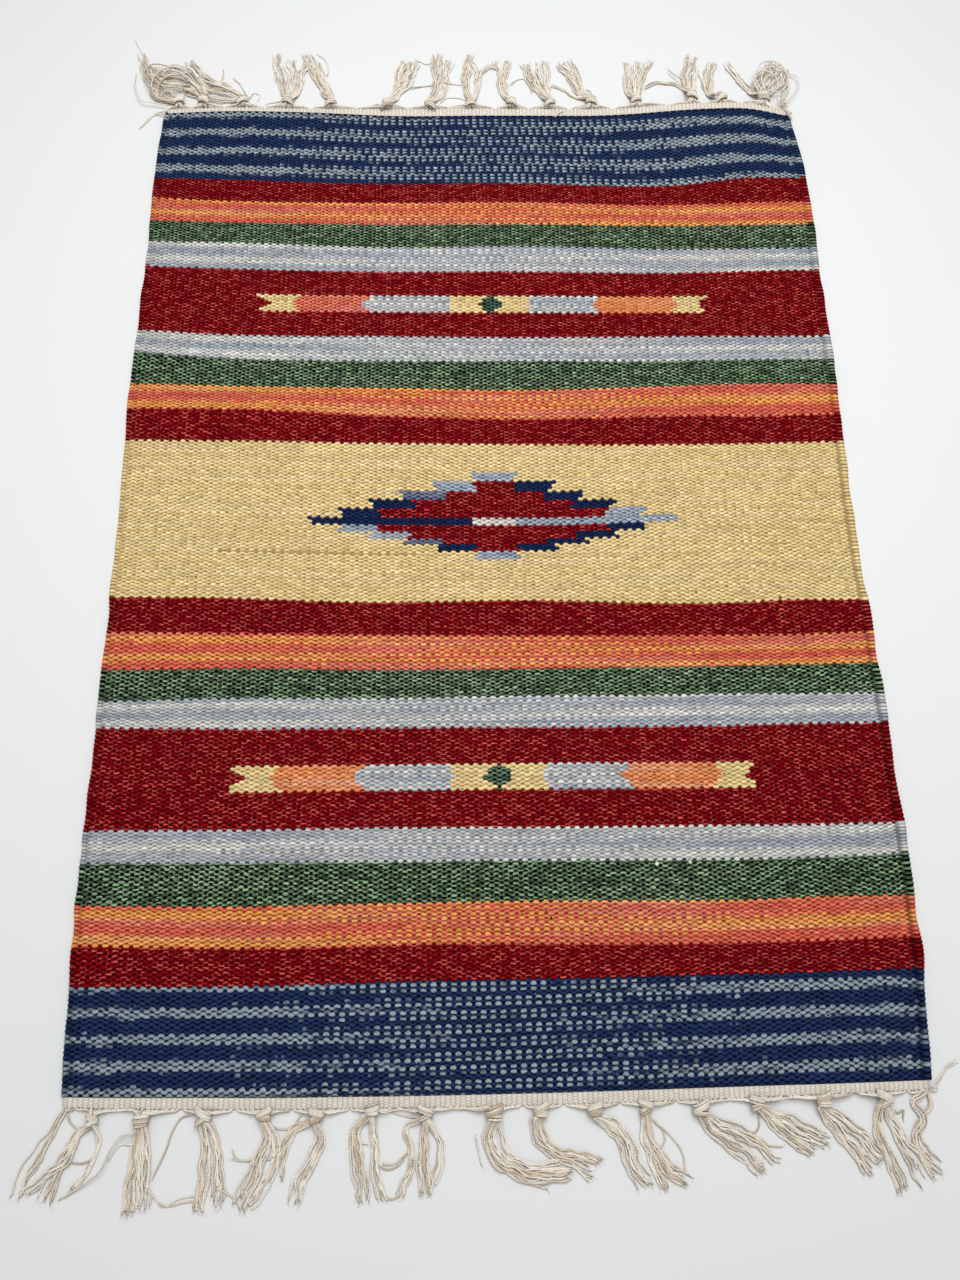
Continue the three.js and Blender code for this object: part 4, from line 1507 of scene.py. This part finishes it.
def painted_groove_shade(u, v):
    """How much light is left in the grooves inside the two edge cords: painted shade, darker towards
    the near end.
    """
    light = 1
    for place, cord_width, inward, depth in GROOVES:
        inside = (u - place) * (inward * WARP_PITCH)
        outside = (u - place) * (-inward * cord_width)
        near = (1 - inside.most(outside) / GROOVE_HALF_WIDTH).within()
        growth = v * ((1 - GROOVE_FAR_SHARE) / PICKS) + GROOVE_FAR_SHARE
        light = (1 - near * growth * depth) * light
    return light


def spotted(graph, shade, u, v, pick, high):
    """The wool with its dotted pick and its few spots."""
    line_y, line_left, line_right = DOTTED_PICK
    on_line = (pick - round(pick_at(line_y))).size().under(0.5)
    on_line = on_line * u.over(warp_at(line_left, line_y)) * u.under(warp_at(line_right, line_y))
    shade = graph.mix(on_line * high * DOTTED_COVER, shade, DOTTED_TONE)
    for x, y, reach, tone in SPOTS:
        far_x = ((u - warp_at(x, y)) * (WARP_PITCH / reach)).size()
        far_y = ((v - pick_at(y)) * (PICK_PITCH / reach)).size()
        shade = graph.mix(((1.2 - far_x - far_y) * 2).within(), shade, tone)
    return shade


def wool(graph):
    """Weft-faced wool: dyed yarns beaten down over the warps."""
    u, v = graph.place()
    warp, pick, odd, side, along = beads(graph, u, v)
    yarn, pace, offset = stripe_facts(graph, pick)
    yarn = medallion(graph, warp, pick, yarn)
    yarn = bar(graph, warp, pick, yarn, FAR_BAR)
    yarn = bar(graph, warp, pick, yarn, NEAR_BAR)
    count = len(YARNS)
    code = (yarn + 0.5) / count

    def by_yarn(facts):
        stops = [(n / count, facts(row)) for n, row in enumerate(YARNS.values())]
        return graph.ramp(code, stops, True)

    main = by_yarn(lambda row: linear(row[0]))
    second = by_yarn(lambda row: linear(row[1]))
    # Each yarn's gap colour is the painted shade between its beads
    gap = by_yarn(lambda row: linear(row[2]))
    share, soft, streak = graph.channels(by_yarn(lambda row: row[3:6]))
    # Painted highlight on the crown, width of the shaded gaps, and pale fibre that is partly painted
    # highlight
    crown_highlight, gaps, pale = graph.channels(by_yarn(lambda row: (row[6], row[7] / 2, row[8])))

    # The yarn runs to and fro, so its dye repeats along the picks one way and then the other
    run = graph.choose(odd, u / WARPS, 1 - u / WARPS)
    phase = pace * (pick + run) - offset + (graph.noise("dye", u, pick) - 0.5) * DYE_WANDER
    away = ((phase + 0.5).part() - 0.5).size()
    first_pick = pick.size().under(0.5)
    dyed = ((share * 0.5 - away) / soft + 0.5).within() * share.over(0.01) * (1 - first_pick)

    # Streaks are one ply of the pick, so they show as thin dashes along its middle; on the red, the
    # light dashes stand for a painted highlight on the crown as well
    thin = (1.1 - (along * 2.1 + 0.2).size() + (gaps - TIGHT_GAPS) * 0.5).within()
    streaks = graph.noise("streak", u, pick) + streak * STREAK_SHARE
    flecks = streaks.rise(STREAK_START, 5) * thin * streak.over(0.01)
    tone = graph.mix(dyed.most(flecks * STREAK_COVER), main, second)

    # Pale fibre lies on the crowns, where it is also a painted highlight, and in bands
    bead_chance = graph.chance(warp, pick)
    fibre = graph.noise("fibre", u, v)
    glint = (1 - (along * 1.9 + 0.25).size()).within()
    tone = graph.mix(glint * pale * (fibre + bead_chance), tone, PALE_FIBRE_AND_HIGHLIGHT)
    bands = graph.noise("band", u, v).rise(0.47, 5)
    tone = graph.mix(bands * pale * PALE_BANDS, tone, PALE_FIBRE_AND_HIGHLIGHT)

    # Each bead and each length of pick is a little lighter or darker than the next
    light = bead_chance * BEAD_LIGHT + graph.noise("length", u, pick) * LENGTH_LIGHT
    # A painted highlight brightens each bead's crown
    light = light + fibre * FIBRE_LIGHT + glint * crown_highlight + BASE_LIGHT
    light = light + (graph.noise("segment", u, pick) - 0.5) * (gaps * 2 - 1) * SEGMENT_LIGHT
    # Painted shade darkens the grooves inside the edge cords
    light = light * painted_groove_shade(u, v) * (1 - first_pick * EDGE_DARKNESS)
    # Painted shade: away from its crown, each bead darkens to its yarn's gap shade
    high = crown(side, along, (graph.noise("slack", u, pick) * 1.5 + 0.45) * gaps * 2)
    shade = graph.mix(high, gap, graph.scaled(tone, light))

    # Where picks lie loose, a dark line of painted shade, in the yarn's gap shade, runs between them
    # over several warps
    lines = graph.noise("line", u, pick).rise(0.53, 8)
    beside = along.size().rise(0.25, 2)
    shade = graph.mix(lines * beside * (gaps * 1.5 - 1).within(), shade, gap)
    spot = (1.4 - (along * 2.4).size() - (side * 3).size()).within()
    shade = graph.mix(bead_chance.over(DARK_FLECKS) * spot, shade, DARK_FLECK_TONE)
    shade = spotted(graph, shade, u, v, pick, high)

    twist = graph.math("SINE", (side * 2.6 + along * 1.1) * FULL_TURN)
    height = high + twist * TWIST_RELIEF + fibre * FIBRE_RELIEF
    return graph.finish(shade, height, strength=0.7, distance=0.5, roughness=0.92)


# The cotton

# The ribs' profile, for the bump and for the painted shade between the ribs and along the picks
RIB_DROP = 0.62
FINE_PICK_DROP = 0.45
HEADING_TONE = (236, 229, 216)
HEADING_GAP_SHADE = (146, 137, 122)
CLEAN_TONE = (250, 244, 232)
WORN_TONE = (196, 178, 156)
PLY_TURN = 1.9
# What a turn round a thread is worth in strands, for its fibres
FUZZ_TURN = 3 / 5.3


def cotton_cloth(graph):
    """The heading: cotton warps show as ribs, with a few fine picks across them, and painted shade
    between the ribs and along the picks.
    """
    u, v = graph.place()
    warp = u.floor()
    side = (u - warp - 0.5) * 2
    odd = graph.math("FLOORED_MODULO", warp, 2)
    across_pick = ((v + odd * 0.5).part() - 0.5) * 2
    rib = 1 - side * side * side * side * RIB_DROP
    line = 1 - across_pick * across_pick * across_pick * across_pick * FINE_PICK_DROP
    high = (rib * line).within()
    fibre = graph.noise("fibre", u, v)
    light = graph.chance(warp, v.floor()) * 0.12 + fibre * 0.24 + 0.82
    # Painted shade: the cloth darkens to the gap shade between ribs and along the fine picks
    shade = graph.mix(high, HEADING_GAP_SHADE, graph.scaled(HEADING_TONE, light))
    return graph.finish(shade, high + fibre * 0.3, strength=0.6, distance=0.5, roughness=0.9)


def cotton_thread(graph):
    """Cotton warp ends. The map holds the strand's number and the length run along it, and
    the turn round it from its right-hand side, so that a quarter turn faces up. The side that
    faces up is painted lighter, and the ply grooves a little darker."""
    run, turn = graph.place()
    strand = (run / STRAND_SPAN).floor()
    up = graph.math("SINE", turn * FULL_TURN) * 0.5 + 0.5
    ply = graph.math("SINE", (turn * 2 + run / PLY_TURN) * FULL_TURN)
    own = graph.chance(strand, 3.0)
    patch = graph.noise("patch", run, strand)
    fibre = graph.noise("fuzz", run, strand + turn * FUZZ_TURN)
    # Painted light: the side that faces up is lighter and the ply grooves a little darker; the rest is
    # the strands' own uneven tone
    light = up * 0.40 + own * 0.16 + patch * 0.16 + fibre * 0.12 + ply * 0.03 + 0.46
    worn = (own * 1.3 + patch * 0.9 - 0.75).within()
    tone = graph.scaled(graph.mix(worn, CLEAN_TONE, WORN_TONE), light)
    return graph.finish(tone, ply * 0.35 + fibre * 0.4, strength=0.2, distance=0.3, roughness=0.9)


# Building the rug

wool_material = wool(Graph("wool weft"))
cloth_material = cotton_cloth(Graph("cotton heading weft"))
thread_material = cotton_thread(Graph("cotton warp ends"))

rug = wool_field(wool_material)
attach(rug, BODY)
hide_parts("field")

for end_name, outward in (("far", 1), ("near", -1)):
    band = heading("cotton_heading_" + end_name, outward, cloth_material)
    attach(band, BODY)
    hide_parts("heading_" + end_name)

for end_name, outward, tassels, strays in (
    ("far", 1, FAR_TASSELS, FAR_STRAYS),
    ("near", -1, NEAR_TASSELS, NEAR_STRAYS),
):
    roots = tassel_roots(tassels, outward)
    for number, tassel in enumerate(tassels, start=1):
        label = f"{end_name}_{number:02d}"
        piece = tassel_piece(
            "fringe_" + label, number, tassel, roots[number - 1], outward, strays, thread_material
        )
        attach(piece, BODY)
        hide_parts("tassel_" + label)

# Floor, light and camera

FLOOR_SIZE = 12
FLOOR_TONE = (238, 240, 240)
SKY_TONE = (1.0, 1.0, 1.0)
SKY_STRENGTH = 0.44
KEY_PLACE = (0.06, 0.29, 1.3)
KEY_SIZE = 0.9
KEY_POWER = 13.3


def floor_piece():
    half = FLOOR_SIZE / 2
    mesh = bpy.data.meshes.new("floor")
    corners = [(-half, -half, 0), (half, -half, 0), (half, half, 0), (-half, half, 0)]
    mesh.from_pydata(corners, [], [(0, 1, 2, 3)])
    floor = bpy.data.objects.new("floor", mesh)
    bpy.context.scene.collection.objects.link(floor)
    material = bpy.data.materials.new("pale floor")
    material.use_nodes = True
    shader = material.node_tree.nodes["Principled BSDF"]
    shader.inputs["Base Color"].default_value = (*linear(FLOOR_TONE), 1)
    shader.inputs["Roughness"].default_value = 0.6
    shader.inputs["Specular IOR Level"].default_value = 0.2
    mesh.materials.append(material)
    return floor


floor = floor_piece()


def soft_light():
    world = bpy.data.worlds.new("studio")
    bpy.context.scene.world = world
    world.use_nodes = True
    sky = world.node_tree.nodes["Background"]
    sky.inputs["Color"].default_value = (*SKY_TONE, 1)
    sky.inputs["Strength"].default_value = SKY_STRENGTH
    lamp = bpy.data.lights.new("key", "AREA")
    lamp.size = KEY_SIZE
    lamp.energy = KEY_POWER
    key = bpy.data.objects.new("key", lamp)
    key.location = KEY_PLACE
    key.rotation_euler = (-Vector(KEY_PLACE)).to_track_quat("-Z", "Y").to_euler()
    bpy.context.scene.collection.objects.link(key)


def photo_camera():
    pitch, yaw, roll = (math.radians(a) for a in (CAMERA_PITCH, CAMERA_YAW, CAMERA_ROLL))
    ahead = Vector((math.cos(pitch) * math.sin(yaw), math.cos(pitch) * math.cos(yaw), -math.sin(pitch)))
    level = Vector((math.cos(yaw), -math.sin(yaw), 0))
    above = level.cross(ahead)
    right = level * math.cos(roll) + above * math.sin(roll)
    up = above * math.cos(roll) - level * math.sin(roll)
    data = bpy.data.cameras.new("camera")
    data.sensor_width = CAMERA_SENSOR
    data.lens = CAMERA_LENS
    data.clip_start = 0.01
    data.clip_end = 20
    camera = bpy.data.objects.new("camera", data)
    turned = Matrix((right, up, -ahead)).transposed().to_4x4()
    camera.matrix_world = Matrix.Translation(Vector(CAMERA_PLACE) * MM) @ turned
    bpy.context.scene.collection.objects.link(camera)
    bpy.context.scene.camera = camera


soft_light()
photo_camera()
bpy.context.scene.view_settings.view_transform = "Standard"
